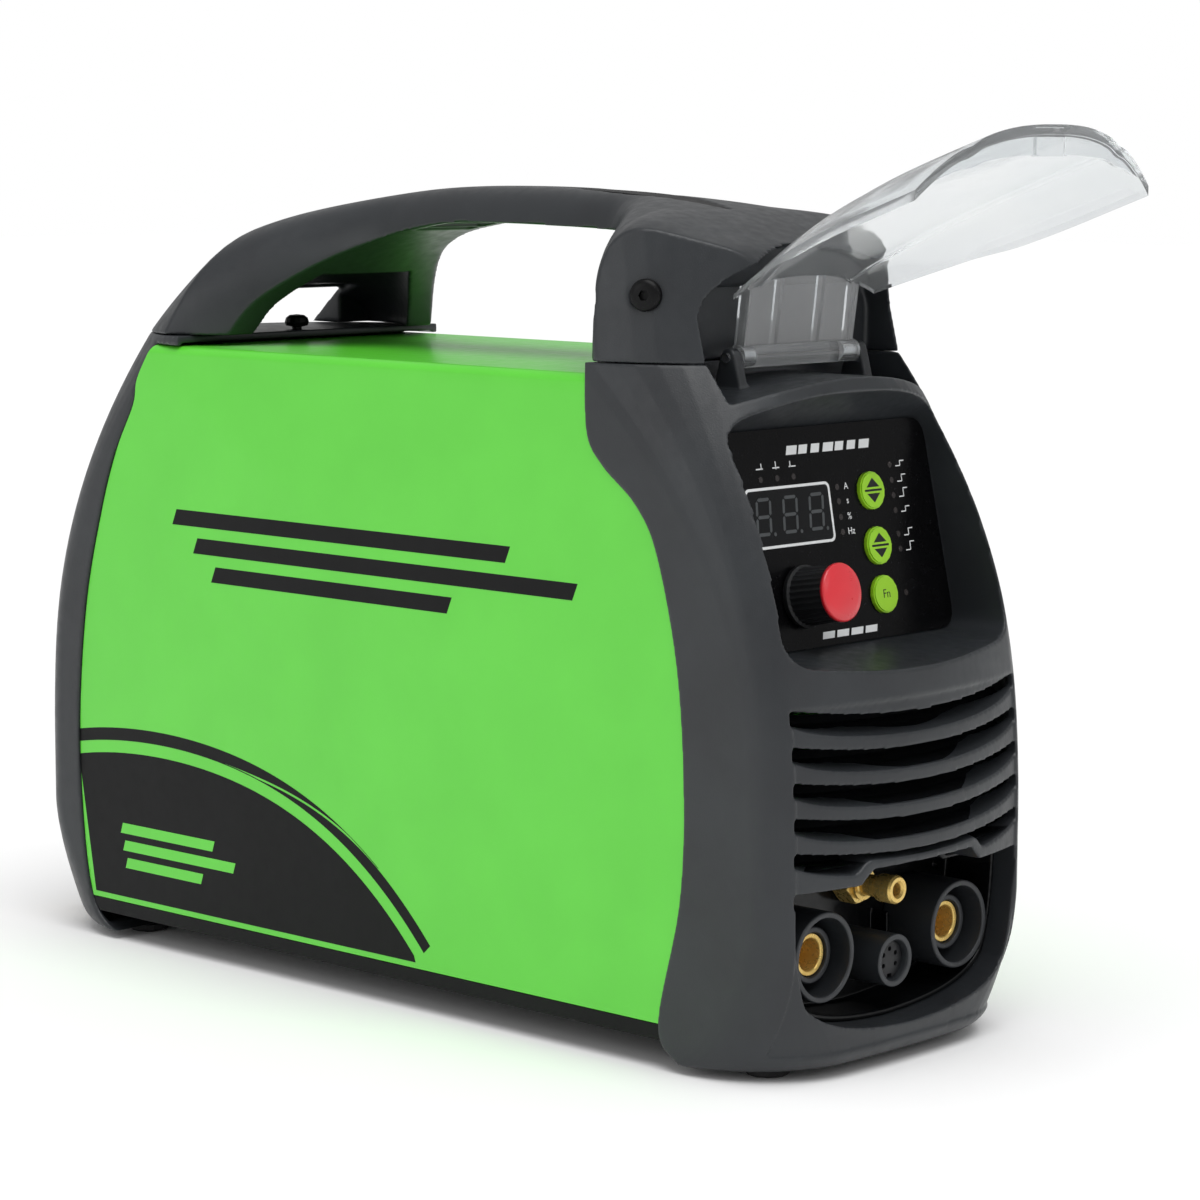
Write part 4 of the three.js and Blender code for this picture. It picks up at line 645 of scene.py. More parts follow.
def handle_ends():
    """The housings' plan carried up: the front leans back a little and the rear slopes in to a dome."""
    front, rear = [], []
    for z in np.linspace(SEAM_Z, SEAM_Z + HANDLE_RISE + 5, 25):
        rise = z - SEAM_Z
        taper = 1 - 0.05 * rise / HANDLE_RISE
        back = min(rise + 0.006 * rise**2, 100)
        front.append([(x * taper, y + 0.2 * rise, z) for x, y, _ in end_ring(SEAM_Z, -1)])
        rear.append([(x * taper, y - back, z) for x, y, _ in end_ring(SEAM_Z, 1)])
    middle = block(
        "middle", (-HALF_WIDTH, FRONT_INNER_Y - 1, SEAM_Z), (HALF_WIDTH, REAR_INNER_Y + 1, SEAM_Z + FAR)
    )
    return join(middle, loft("front_end", front), loft("rear_end", rear))


def finger_gap():
    grip = SEAM_Z + HANDLE_RISE - GRIP_THICKNESS
    points = [
        (FRONT_Y + 101, SEAM_Z), (FRONT_Y + 99, SEAM_Z + 16), (FRONT_Y + 99, SEAM_Z + 28),
        (FRONT_Y + 107, grip - 10), (FRONT_Y + 126, grip - 2.5), (PEAK_Y + 20, grip),
        (REAR_Y - 190, grip - 3.5), (REAR_Y - 165, grip - 10), (REAR_Y - 143, grip - 20),
        (REAR_Y - 122, grip - 36), (REAR_Y - 112, SEAM_Z),
    ]
    outline = [(FRONT_Y + 101, SEAM_Z - 30), *smooth_line(points, 7), (REAR_Y - 112, SEAM_Z - 30)]
    return along_x("finger_gap", outline, -FAR, FAR)


def leg_hollow():
    hollow = handle_stretch("leg_hollow", REAR_Y - 135, REAR_Y - 66, 24, LEG, HANDLE_WALL + 14)
    window = block("leg_window", (-47, REAR_Y - 100, SEAM_Z - 1), (47, REAR_Y, SEAM_Z + 19))
    return join(hollow, window)


def crossbar():
    outline = rounded(4, 5, 3, (REAR_Y - 66, SEAM_Z + 22))
    return along_x("crossbar", outline, -57, 57)


def grip_cells():
    """Open cells under the grip between its stiffening ribs."""
    half = GRIP_HALF - 2.5 * HANDLE_WALL
    start, end, count = FRONT_Y + 128, REAR_Y - 178, 12
    pitch = (end - start) / count
    roof = [point for point in handle_top_line(2 * HANDLE_WALL) if start < point[0] < end]
    cells = []
    for i in range(count):
        y = start + i * pitch
        under = along_x("under", [(start, SEAM_Z), *roof, (end, SEAM_Z)], -half, half)
        cell = block("cell", (-half, y + 0.8, SEAM_Z + 30), (half, y + pitch - 0.8, SEAM_Z + FAR))
        cells.append(meet(cell, under))
    return cells


def head_hollow():
    rings = []
    for z in (SEAM_Z - 1, SEAM_Z + 24, SEAM_Z + 42):
        half = HALF_WIDTH - 8 - 0.25 * (z - SEAM_Z)
        front, back = POCKET_BACK_Y + 6, FRONT_Y + 90
        rings.append([(half, front, z), (half, back, z), (-half, back, z), (-half, front, z)])
    return loft("head_hollow", rings)


SCREW_X, SCREW_Y, SCREW_Z = 70.6, FRONT_Y + 77, SEAM_Z + 27
SCREW_TURN = 0.42  # how far its axis is turned to the front, in radians
SCREW_RADIUS = 6.5


def screw_cap(name, side):
    """A domed black screw head with a six-sided socket, square to the rounded corner that it sits in. The head is
    real, but its black is partly painted shade: it fills the recess and stands for the shade deep inside it.
    """
    out = Vector((side * math.cos(SCREW_TURN), -math.sin(SCREW_TURN), 0))
    matrix = frame_matrix(out.cross(Z_AXIS), Z_AXIS, out, Vector((side * SCREW_X, SCREW_Y, SCREW_Z)))
    profile = [
        (0, 0), (SCREW_RADIUS, 0), (SCREW_RADIUS, 1.6), (6.1, 2.5), (5, 3.2), (3.4, 3.6), (0, 3.7),
    ]
    head = lathe(name, profile, matrix)
    cut(head, prism("socket", hexagon(4), 1.6, 8, matrix))
    return smooth_shaded(head, 40)


def screw_recess(side):
    deep = HALF_WIDTH - 9
    low, high = (deep, FAR) if side > 0 else (-FAR, -deep)
    return along_x("screw_recess", circle(SCREW_RADIUS + GAP, 40, (SCREW_Y, SCREW_Z)), low, high)


INLAY_Y, INLAY_HALF_LENGTH, INLAY_HALF_WIDTH, INLAY_DEPTH = FRONT_Y + 142, 48, 9, 1.6


def inlay_column(away=0.0):
    half, length = 2 * (INLAY_HALF_WIDTH + away), INLAY_HALF_LENGTH + away
    low, high = (0, INLAY_Y - length), (0, INLAY_Y + length)
    outline = quadratic(low, (half, INLAY_Y), high, 24) + quadratic(high, (-half, INLAY_Y), low, 24)[1:-1]
    return prism("inlay", outline, SEAM_Z, SEAM_Z + 100)


def under_top(lower):
    line = handle_top_line(lower)
    return along_x("under_top", [(line[0][0], SEAM_Z - 60), *line, (line[-1][0], SEAM_Z - 60)], -FAR, FAR)


def handle():
    body = handle_stretch("handle_shell", FRONT_Y + END_LEAN, REAR_Y - END_LEAN - 1, 90, 0, 0)
    meet(body, handle_ends())
    bar = crossbar()
    meet(bar, linked("whole", body.data.copy()))
    groove = cut(inlay_column(), under_top(INLAY_DEPTH))
    hollows = [finger_gap(), leg_hollow(), pocket(), head_hollow(), *grip_cells()]
    cut(body, *hollows, screw_recess(-1), screw_recess(1), groove)
    join(body, bar)
    body.data.transform(Matrix.Translation((0, 0, GAP * MM)))
    return moulded(body, grain=0.85, passes=8, keep=0.5)


def grip_inlay():
    slab = cut(under_top(0.3), under_top(INLAY_DEPTH - GAP))
    inlay = meet(inlay_column(-GAP), slab)
    inlay.name = "grip_inlay_pad"
    inlay.data.transform(Matrix.Translation((0, 0, GAP * MM)))
    return eased(inlay, 0.3)


# ---------------------------------------------------------------- clear cover
SHIELD_REACH = 119
SHIELD_CROWN = 24
SHIELD_ROOT_CROWN = 8
SHIELD_WALL = 2.2


def shield_point(share, across, lower):
    """Point of the open cover: share runs from its root to its free end, across from side to side."""
    half = 44 + 30 * math.sin(min(share / 0.75, 1) * HALF_TURN / 2)
    edge = HINGE.z + 25 + 43 * share**0.95
    crown = SHIELD_ROOT_CROWN + (SHIELD_CROWN - SHIELD_ROOT_CROWN) * (1 - (1 - share) ** 3)
    ridge = 1.0 * math.exp(-((abs(across) - 0.62) ** 2) / 0.003)
    y = HINGE.y - 5 - (SHIELD_REACH - 5) * share - 8 * share * (1 - across**2)
    return across * half, y, edge + crown * (1 - abs(across) ** 2.6) - ridge - lower


def shield_shell():
    """The domed sheet, with a thicker rim along its sides and its free end."""
    rings = []
    for share in np.linspace(0, 1, 41):
        across = np.linspace(-1, 1, 61)
        end_rim = 1.6 * smoothstep((share - 0.94) / 0.04)
        side_rim = 1.6 * smoothstep((share - 0.3) / 0.2)
        wall = [SHIELD_WALL + max(end_rim, side_rim * smoothstep((abs(a) - 0.95) / 0.03)) for a in across]
        top = [shield_point(share, a, 0) for a in across]
        under = [shield_point(share, a, depth) for a, depth in zip(across[::-1], wall[::-1])]
        rings.append(top + under)
    return loft("clear_cover_shell", rings)


def end_wall():
    """The short wall that hangs from the free end: deep in the middle and gone at the sides."""
    rings = []
    for across in np.linspace(-0.93, 0.93, 41):
        x, y, z = shield_point(1, across, 1)
        deep = 10 * (1 - (across / 0.93) ** 2) ** 0.7 + 0.6
        rings.append([(x, y + 0.4, z), (x, y + 0.4, z - deep), (x, y + 2.4, z - deep), (x, y + 2.4, z)])
    return loft("end_wall", rings)


def cover_web():
    """Upright web between the hinge barrel and the sheet, with ribs behind it."""
    _, root_y, _ = shield_point(0, 0, 0)
    top = HINGE.z + 25 + SHIELD_ROOT_CROWN
    roof = [shield_point(0, across, 1) for across in np.linspace(-0.78, 0.78, 21)]
    outline = [(roof[0][0], HINGE.z - 1), *[(x, z) for x, _, z in roof], (roof[-1][0], HINGE.z - 1)]
    under = along_y("under", outline, HINGE.y - 30, HINGE.y + 30)
    web_side = [(HINGE.y + 1.5, HINGE.z), (HINGE.y - 1.5, HINGE.z), (root_y - 1, top), (root_y + 1.6, top)]
    rib_side = [(HINGE.y + 4, HINGE.z), (HINGE.y - 0.4, HINGE.z), (root_y + 0.6, top), (root_y + 5, top)]
    web = along_x("web", web_side, -34, 34)
    ribs = [along_x("rib", rib_side, x - 1.1, x + 1.1) for x in (-32.5, -13, 13, 32.5)]
    return meet(join(web, *ribs), under)


def clear_cover():
    shield = shield_shell()
    barrel = along_x("barrel", circle(4.6, 40, (HINGE.y, HINGE.z)), -36, 36)
    _, tip_y, tip_z = shield_point(1, 0, 0)
    hook = block("hook", (-9, tip_y + 0.6, tip_z - 12), (9, tip_y + 4, tip_z - 1.2))
    join(shield, cover_web(), barrel, end_wall(), hook)
    bores = [along_x("bore", circle(2.3, 24, (HINGE.y, HINGE.z)), *span) for span in ((-37, -27), (27, 37))]
    cut(shield, *bores)
    return smooth_shaded(shield, 35)


# ---------------------------------------------------------------- knob, sockets and fittings
FACE_N = GAP + 1  # front of the panel's film
KNOB_RADIUS, KNOB_HEIGHT = 12.7, 20
PANEL_KNOB = frame_matrix(X_AXIS, PANEL_UP, PANEL_OUT, KNOB_BASE)


def knob_skirt():
    """Knob with a collar at its foot and fine ribs up its side, hollow underneath."""
    foot, top = FACE_N + 1, FACE_N + 1 + KNOB_HEIGHT - 1.5
    rings = []
    ribs, per_rib = 30, 6
    heights = [(foot, 0.0, 0), (foot + 0.5, 0.4, 0), (foot + 2.4, 0.4, 0), (foot + 3, -0.4, 1),
               (foot + 4, -0.5, 1), (top - 1, -1.0, 1), (top - 0.3, -1.1, 0.5), (top, -1.5, 0)]
    for n, grow, ribbed in heights:
        ring = []
        for i in range(ribs * per_rib):
            angle = 2 * HALF_TURN * i / (ribs * per_rib)
            wave = 0.45 * ribbed * (0.5 - 0.5 * math.cos(ribs * angle)) ** 0.6
            radius = KNOB_RADIUS - 0.4 + grow - wave
            ring.append((radius * math.cos(angle), radius * math.sin(angle), n))
        rings.append(ring)
    skirt = loft("knob_skirt", rings, PANEL_KNOB)
    shaft_hole = prism("shaft_hole", circle(3.3), 0, 14.4, PANEL_KNOB)
    underside = prism("underside", circle(9), 0, foot + 3, PANEL_KNOB)
    cut(skirt, join(shaft_hole, underside))
    return smooth_shaded(skirt, 40)


def knob_top():
    foot = FACE_N + 1 + KNOB_HEIGHT - 1.1
    rim = KNOB_RADIUS - 0.9
    profile = [(0, foot), (rim, foot), *arc(1.1, 0, HALF_TURN / 2, 6, (rim - 1.1, foot + 0.9))]
    profile += [(r, foot + 2 + 1.1 * (1 - (r / rim) ** 2)) for r in np.linspace(rim * 0.85, 0, 8)]
    cap = lathe("knob_top", profile, PANEL_KNOB, 64)
    cap.data.shade_smooth()
    return cap


def turned(name, profile, matrix, steps=56, edge=0.35, angle=30):
    return eased(lathe(name, profile, matrix, steps), edge, 3, angle)


def socket_collar(name, side):
    depth = PLATE_FRONT_Y - GAP - SOCKET_FACE_Y
    outer, wall, hole = 18.3, 2.6, 8.9
    profile = [
        (hole, 0), (outer, 0), (outer, depth), (outer - wall, depth), (outer - wall, 7),
        (hole + 2.6, 7), (hole + 2.6, depth - 6.5), (hole, depth - 6.5),
    ]
    matrix = facing_front(side * SOCKET_X, PLATE_FRONT_Y - GAP, SOCKET_Z)
    return turned(name, profile, matrix, edge=0.8)


def socket_insert(name, side):
    foot = BAY_BACK_Y + 11
    step = foot - (PLATE_FRONT_Y - GAP)
    length = foot - SOCKET_FACE_Y - 8
    profile = [
        (0, 0), (6, 0), (6, step), (8.5, step), (8.5, length), (6.9, length), (6.5, length - 0.5),
        (6.5, step + 1), (0, step + 1),
    ]
    matrix = facing_front(side * SOCKET_X, foot, SOCKET_Z)
    return turned(name, profile, matrix, edge=0.25)


def control_socket_ring():
    depth = PLATE_FRONT_Y - GAP - SOCKET_FACE_Y + 1
    profile = [(8, 0), (10.8, 0), (10.8, depth), (8.6, depth), (8, depth - 0.8)]
    return turned("control_socket_ring", profile, facing_front(0, PLATE_FRONT_Y - GAP, CONTROL_Z), edge=0.5)


def control_socket_core():
    face = BAY_BACK_Y + 6 - (SOCKET_FACE_Y + 2)
    matrix = facing_front(0, BAY_BACK_Y + 6, CONTROL_Z)
    core = lathe("control_socket_core", [(0, 0), (7.6, 0), (7.6, face), (0, face)], matrix, 48)
    holes = [
        prism("pin_hole", circle(1.0, 14, (4.4 * math.cos(a), 4.4 * math.sin(a))), face - 9, face + 1, matrix)
        for a in np.radians([-30, 30, 90, 150, 210])
    ]
    key = prism("key", rounded(1.4, 1.2, 0.4, (0, -7)), face - 6, face + 1, matrix)
    return eased(cut(core, *holes, key), 0.2, 2)


def gas_fitting():
    foot = BAY_BACK_Y + 12
    length = foot - SOCKET_FACE_Y + 2
    plate = foot - (PLATE_FRONT_Y - GAP)
    matrix = facing_front(0, foot, GAS_Z)
    tube = [(2.8, 0), (5, 0), (5, plate + 11), (4.4, plate + 11.5), (4.4, length - 9.5), (5.4, length - 9),
            (5.8, length - 8.2), (5.8, length - 1), (5.1, length), (3.6, length), (2.8, length - 1)]
    body = lathe("gas_fitting", tube, matrix, 48)
    top = plate + 9
    chamfer = [(0, plate), (8.0, plate), (8.9, plate + 0.8), (8.9, top - 1), (8.0, top), (0, top)]
    nut = prism("nut", hexagon(15, turn=0.2), plate, top, matrix)
    meet(nut, lathe("chamfer", chamfer, matrix))
    collar = lathe("collar", [(4.4, top), (6.6, top), (6.6, top + 2), (4.4, top + 2)], matrix)
    cut(nut, prism("bore", circle(3.6, 24), 0, 80, matrix))
    join(body, nut, collar)
    return smooth_shaded(body, 30)


def connector_tray():
    tray = along_y("connector_tray", bay_outline(-GAP), FRONT_Y + 8, BAY_BACK_Y)
    hollow = along_y("hollow", bay_outline(-GAP - 2), -FAR, PLATE_FRONT_Y)
    shanks = [along_y("shank", circle(6.4, 32, (side * SOCKET_X, SOCKET_Z)), -FAR, 0) for side in (-1, 1)]
    control = along_y("control", circle(8, 32, (0, CONTROL_Z)), -FAR, 0)
    gas = along_y("gas", circle(5.4, 32, (0, GAS_Z)), -FAR, 0)
    cut(tray, hollow, *shanks, control, gas)
    plate = facing_front(0, PLATE_FRONT_Y, 0)
    plus, minus = (-62.5, 67), (62.5, 67)
    bars = [rounded(3.2, 0.8, 0.4, plus), rounded(3.2, 0.8, 0.4, minus), rounded(0.8, 3.2, 0.4, plus)]
    marks = [prism("mark", bar, -0.4, 1.2, plate) for bar in bars]
    webs = [prism("web", rounded(1, 6, 0.5, (side * 19.5, SOCKET_Z)), -0.4, 8, plate) for side in (-1, 1)]
    join(tray, *marks, *webs)
    return moulded(tray, grain=0.55, passes=3, keep=0.35)


# ---------------------------------------------------------------- print on the control panel
PRINT = 0.06  # thickness of printed ink


def shape_mesh(name, outlines, low, high, matrix=PANEL):
    return merged(name, [prism("shape", outline, low, high, matrix) for outline in outlines])


def ring_mesh(outer, inner, low, high, matrix=PANEL):
    """A flat frame between two outlines of equally many points."""
    size = len(outer)
    vertices = [(a, b, n) for n in (low, high) for line in (outer, inner) for a, b in line]
    faces = []
    for i in range(size):
        j = (i + 1) % size
        corners = [(line * size + i, line * size + j) for line in range(4)]
        for first, second in ((0, 1), (2, 3), (0, 2), (1, 3)):
            faces.append((corners[first][0], corners[first][1], corners[second][1], corners[second][0]))
    return new_object("ring", vertices, faces, matrix)


def lettering(text, height, u, v, low, matrix=PANEL):
    """A short generic label whose middle is at (u, v)."""
    curve = bpy.data.curves.new("label", "FONT")
    curve.body = text
    curve.size = height * 1.4
    curve.extrude = PRINT / 2
    curve.align_x, curve.align_y = "CENTER", "CENTER"
    holder = linked("label", curve)
    mesh = bpy.data.meshes.new_from_object(holder.evaluated_get(bpy.context.evaluated_depsgraph_get()))
    bpy.data.objects.remove(holder)
    mesh.transform(Matrix.Scale(MM, 4) @ matrix @ Matrix.Translation((u, v, low + PRINT / 2)))
    return linked("label", mesh)


DISPLAY_U, DISPLAY_V, DISPLAY_WIDTH, DISPLAY_HEIGHT = -25.8, 9.2, 51.6, 24
UNIT_LEDS = [(5.0, v) for v in (18.6, 12.8, 6.4, 0.3)]
TOP_LEDS = [(u, 24.6) for u in (-41, -31, -21)]
MODE_LEDS = [(40.2, v) for v in (25.5, 19.1, 12.8, 6.6, -3.2, -9.4, -27.4)]
BUTTON_U = 25.3
BUTTONS = {"select_button_upper": 15.7, "select_button_lower": -6.9, "function_button": -26.9}


def panel_print():
    """White print on the panel: display border, unit labels, small icons and rules."""
    outer = rounded(DISPLAY_WIDTH / 2 + 0.2, DISPLAY_HEIGHT / 2 + 0.2, 2.6, (DISPLAY_U, DISPLAY_V))
    inner = rounded(DISPLAY_WIDTH / 2 - 0.9, DISPLAY_HEIGHT / 2 - 0.9, 1.8, (DISPLAY_U, DISPLAY_V))
    pieces = [ring_mesh(outer, inner, FACE_N, FACE_N + PRINT)]
    for (u, v), label in zip(UNIT_LEDS, ("A", "s", "%", "Hz")):
        pieces.append(lettering(label, 2.8, u + 5.6, v, FACE_N))
    icons = []
    for i, (u, v) in enumerate(TOP_LEDS):
        icons.append(rounded(2.1, 0.25, 0.1, (u, v + 4.2)))
        icons.append(rounded(0.25, 1.2 + 0.4 * (i % 2), 0.1, (u + 1.2 - i * 1.2, v + 5.2)))
    for i, (u, v) in enumerate(MODE_LEDS[:-1]):
        step = 1.0 + 0.35 * (i % 3)
        icons.append(rounded(1.5, 0.22, 0.1, (u + 5.2, v - 0.8)))
        icons.append(rounded(0.22, step, 0.1, (u + 6.7, v - 0.8 + step)))
        icons.append(rounded(1.4, 0.22, 0.1, (u + 8.0, v - 0.8 + 2 * step)))
    pieces.append(shape_mesh("icons", icons, FACE_N, FACE_N + PRINT))
    title = []
    for i in range(7):
        left = -24 + i * 7.6
        width = 5.2 if i % 3 else 6.4
        title.append([(left, 33.4), (left + width, 33.4), (left + width + 1.2, 37), (left + 1.2, 37)])
    for i in range(4):
        left = -16 + i * 9
        title.append([(left, -41.4), (left + 7.4, -41.4), (left + 8.2, -38.6), (left + 0.8, -38.6)])
    pieces.append(shape_mesh("title", title, FACE_N, FACE_N + PRINT))
    return merged("panel_print", pieces)


def led_lenses():
    outlines = [circle(1.25, 20, place) for place in [*UNIT_LEDS, *TOP_LEDS, *MODE_LEDS]]
    return shape_mesh("panel_led_lenses", outlines, FACE_N, FACE_N + 0.12)


def display_digits():
    """Three unlit seven-segment figures with their points."""
    slant, wide, tall, bar_width = 0.12, 4.0, 6.9, 1.35
    outlines = []

    def segment(centre, half_length, upright):
        half = bar_width / 2
        inner = half_length - half
        flat = [(-half_length, 0), (-inner, -half), (inner, -half)]
        flat += [(half_length, 0), (inner, half), (-inner, half)]
        points = [(b, a) for a, b in flat][::-1] if upright else flat
        return [(centre[0] + a, centre[1] + b) for a, b in points]

    for middle in (-42.0, -25.8, -9.6):
        places = [((0, level), wide - 0.4, False) for level in (tall, 0, -tall)]
        for side in (-1, 1):
            places += [((side * wide, end * tall / 2), tall / 2 - 0.4, True) for end in (-1, 1)]
        for centre, half_length, upright in places:
            outline = segment(centre, half_length, upright)
            outlines.append([(middle + a + slant * b, DISPLAY_V + 0.6 + b) for a, b in outline])
        outlines.append(circle(0.8, 12, (middle + 5.6, DISPLAY_V - tall + 0.3)))
    return shape_mesh("display_digits", outlines, FACE_N + 0.02, FACE_N + 0.1)


def button_symbol(node, v):
    """Dark arrowheads about a bar on the two selector buttons, and two letters on the third."""
    face = FACE_N + 2
    if node == "function_button":
        symbol = lettering("Fn", 3.6, BUTTON_U, v, face)
        symbol.name = node + "_symbol"
        return symbol
    outlines = [rounded(5.4, 0.45, 0.3, (BUTTON_U, v))]
    for end in (-1, 1):
        outlines.append([
            (BUTTON_U - 4.1, v + end * 1.3), (BUTTON_U + 4.1, v + end * 1.3), (BUTTON_U, v + end * 5.1),
        ])
    return shape_mesh(node + "_symbol", outlines, face, face + PRINT)


# ---------------------------------------------------------------- rear fittings
def cable_gland():
    foot = node_box("cable_gland")[0].y
    wall = REAR_Y - foot
    length = node_box("cable_gland")[1].y - foot
    matrix = facing_back(INLET_X, foot, INLET_Z)
    body = lathe("cable_gland_body", [
        (4.5, 0), (8, 0), (8, wall), (10.2, wall + 0.5), (10.2, wall + 7), (10.9, wall + 8),
        (10.9, length - 4), (8.6, length - 0.6), (7.6, length), (4.5, length),
    ], matrix, 56)
    nut = prism("nut", hexagon(21.6), wall + 0.4, wall + 6.4, matrix)
    top = wall + 6.6
    chamfer = [(0, wall), (11.6, wall), (12.4, wall + 0.8), (12.4, top - 0.8), (11.6, top), (0, top)]
    meet(nut, lathe("chamfer", chamfer, matrix))
    cut(nut, prism("bore", circle(6, 32), 0, 80, matrix))
    grooves = [
        prism("groove", rounded(0.5, 0.5, 0.2, centre), wall + 8.5, length, matrix)
        for centre in circle(11.1, 24)
    ]
    join(body, nut)
    cut(body, *grooves)
    return eased(body, 0.3)


def gas_inlet():
    foot = node_box("gas_inlet_fitting")[0].y
    length = node_box("gas_inlet_fitting")[1].y - foot
    wall = REAR_Y - foot
    matrix = facing_back(-INLET_X, foot, INLET_Z)
    profile = [(2.4, 0), (5, 0), (5, wall + 6.4), (3.8, wall + 6.8), (3.8, wall + 8)]
    barbs = 3
    pitch = (length - wall - 8.5) / barbs
    for i in range(barbs):
        start = wall + 8 + i * pitch
        profile += [(4.9, start + 0.2), (3.9, start + pitch)]
    profile += [(3.4, length), (2.4, length)]
    body = lathe("gas_inlet_body", profile, matrix, 40)
    nut = prism("nut", hexagon(13.6), wall + 0.4, wall + 6.2, matrix)
    cut(nut, prism("bore", circle(4, 24), 0, 80, matrix))
    return eased(join(body, nut), 0.25)


# ---------------------------------------------------------------- paint and print on the metal cover
INK = 0.08
BAND_Y, BAND_Z = 170, 100.3  # top of the long arc that the side's graphics follow
BAND_CURVE, BAND_DROP = 0.001437, 2.49e-8  # how it falls away with the square and the fourth power
LIMIT_Y, LIMIT_Z, LIMIT_LEAN = 214.3, 19.6, 0.177  # line where the graphics end at the rear
FIELD_BOTTOM_Z = 21


def band_point(y, lower):
    """A point the given distance below the long arc."""
    d = y - BAND_Y
    z = BAND_Z - BAND_CURVE * d**2 - BAND_DROP * d**4
    slope = -2 * BAND_CURVE * d - 4 * BAND_DROP * d**3
    size = math.hypot(1, slope)
    return y + lower * slope / size, z - lower / size


def rear_limit(z):
    return LIMIT_Y + (z - LIMIT_Z) * LIMIT_LEAN


def side_ink(name, outlines, side, lift=0.0):
    """Outlines as a thin layer of ink on one side of the metal cover, a lift above it."""
    face = side * (COVER_HIGH.x + lift)
    low, high = sorted((face, face + side * INK))
    return merged(name, [along_x("ink", outline, low, high) for outline in outlines])


def side_graphics(name, side):
    """Black swoosh, field and speed bars on one side of the metal cover."""

    def strip(from_y, to_y, upper, lower):
        ys = np.linspace(from_y, to_y, 40)
        top = [band_point(y, upper(y)) for y in ys]
        bottom = [band_point(y, lower(y)) for y in ys[::-1]]
        return [(min(y, rear_limit(z)), max(z, FIELD_BOTTOM_Z - 1)) for y, z in top + bottom]

    def sliver(y):
        return 5.8 * smoothstep((y - 20) / 105)

    outlines = [
        strip(122, 240, lambda y: 0.0, lambda y: 5.8),
        strip(24, 122, lambda y: 0.0, lambda y: max(0.2, sliver(y) - 0.5)),
        strip(-8, 122, lambda y: min(5.4, sliver(y) + 0.5), lambda y: 5.8),
    ]
    arch = [band_point(y, 11.5) for y in np.linspace(-30, 240, 80)]
    arch = [(min(y, rear_limit(z)), z) for y, z in arch if z >= FIELD_BOTTOM_Z]
    corner = (rear_limit(FIELD_BOTTOM_Z), FIELD_BOTTOM_Z)
    outlines.append([(arch[0][0] - 1, FIELD_BOTTOM_Z), *arch, corner])
    bars = ((157, -52, 0), (143, -90, 1), (131, -18, 2))
    for start, end, row in bars:
        z = 196 - row * 12
        outlines.append([(start, z), (start - 3, z + 7), (end - 3, z + 7), (end, z)])
    return side_ink(name, outlines, side)


def side_mark(name, side):
    """Three green bars in the black field."""
    outlines = []
    for row, end in enumerate((132, 118, 140)):
        start, z = 196 - row * 1.6, 53 - row * 8
        outlines.append([(start, z - 2.4), (start - 1.6, z + 2.4), (end - 1.6, z + 2.4), (end, z - 2.4)])
    return side_ink(name, outlines, side, INK)


# ---------------------------------------------------------------- materials
def tone(red, green, blue):
    """A screen colour, each part out of 255, as the shader's linear colour."""
    parts = [part / 255 for part in (red, green, blue)]
    return tuple(part / 12.92 if part < 0.04 else ((part + 0.055) / 1.055) ** 2.4 for part in parts) + (1.0,)


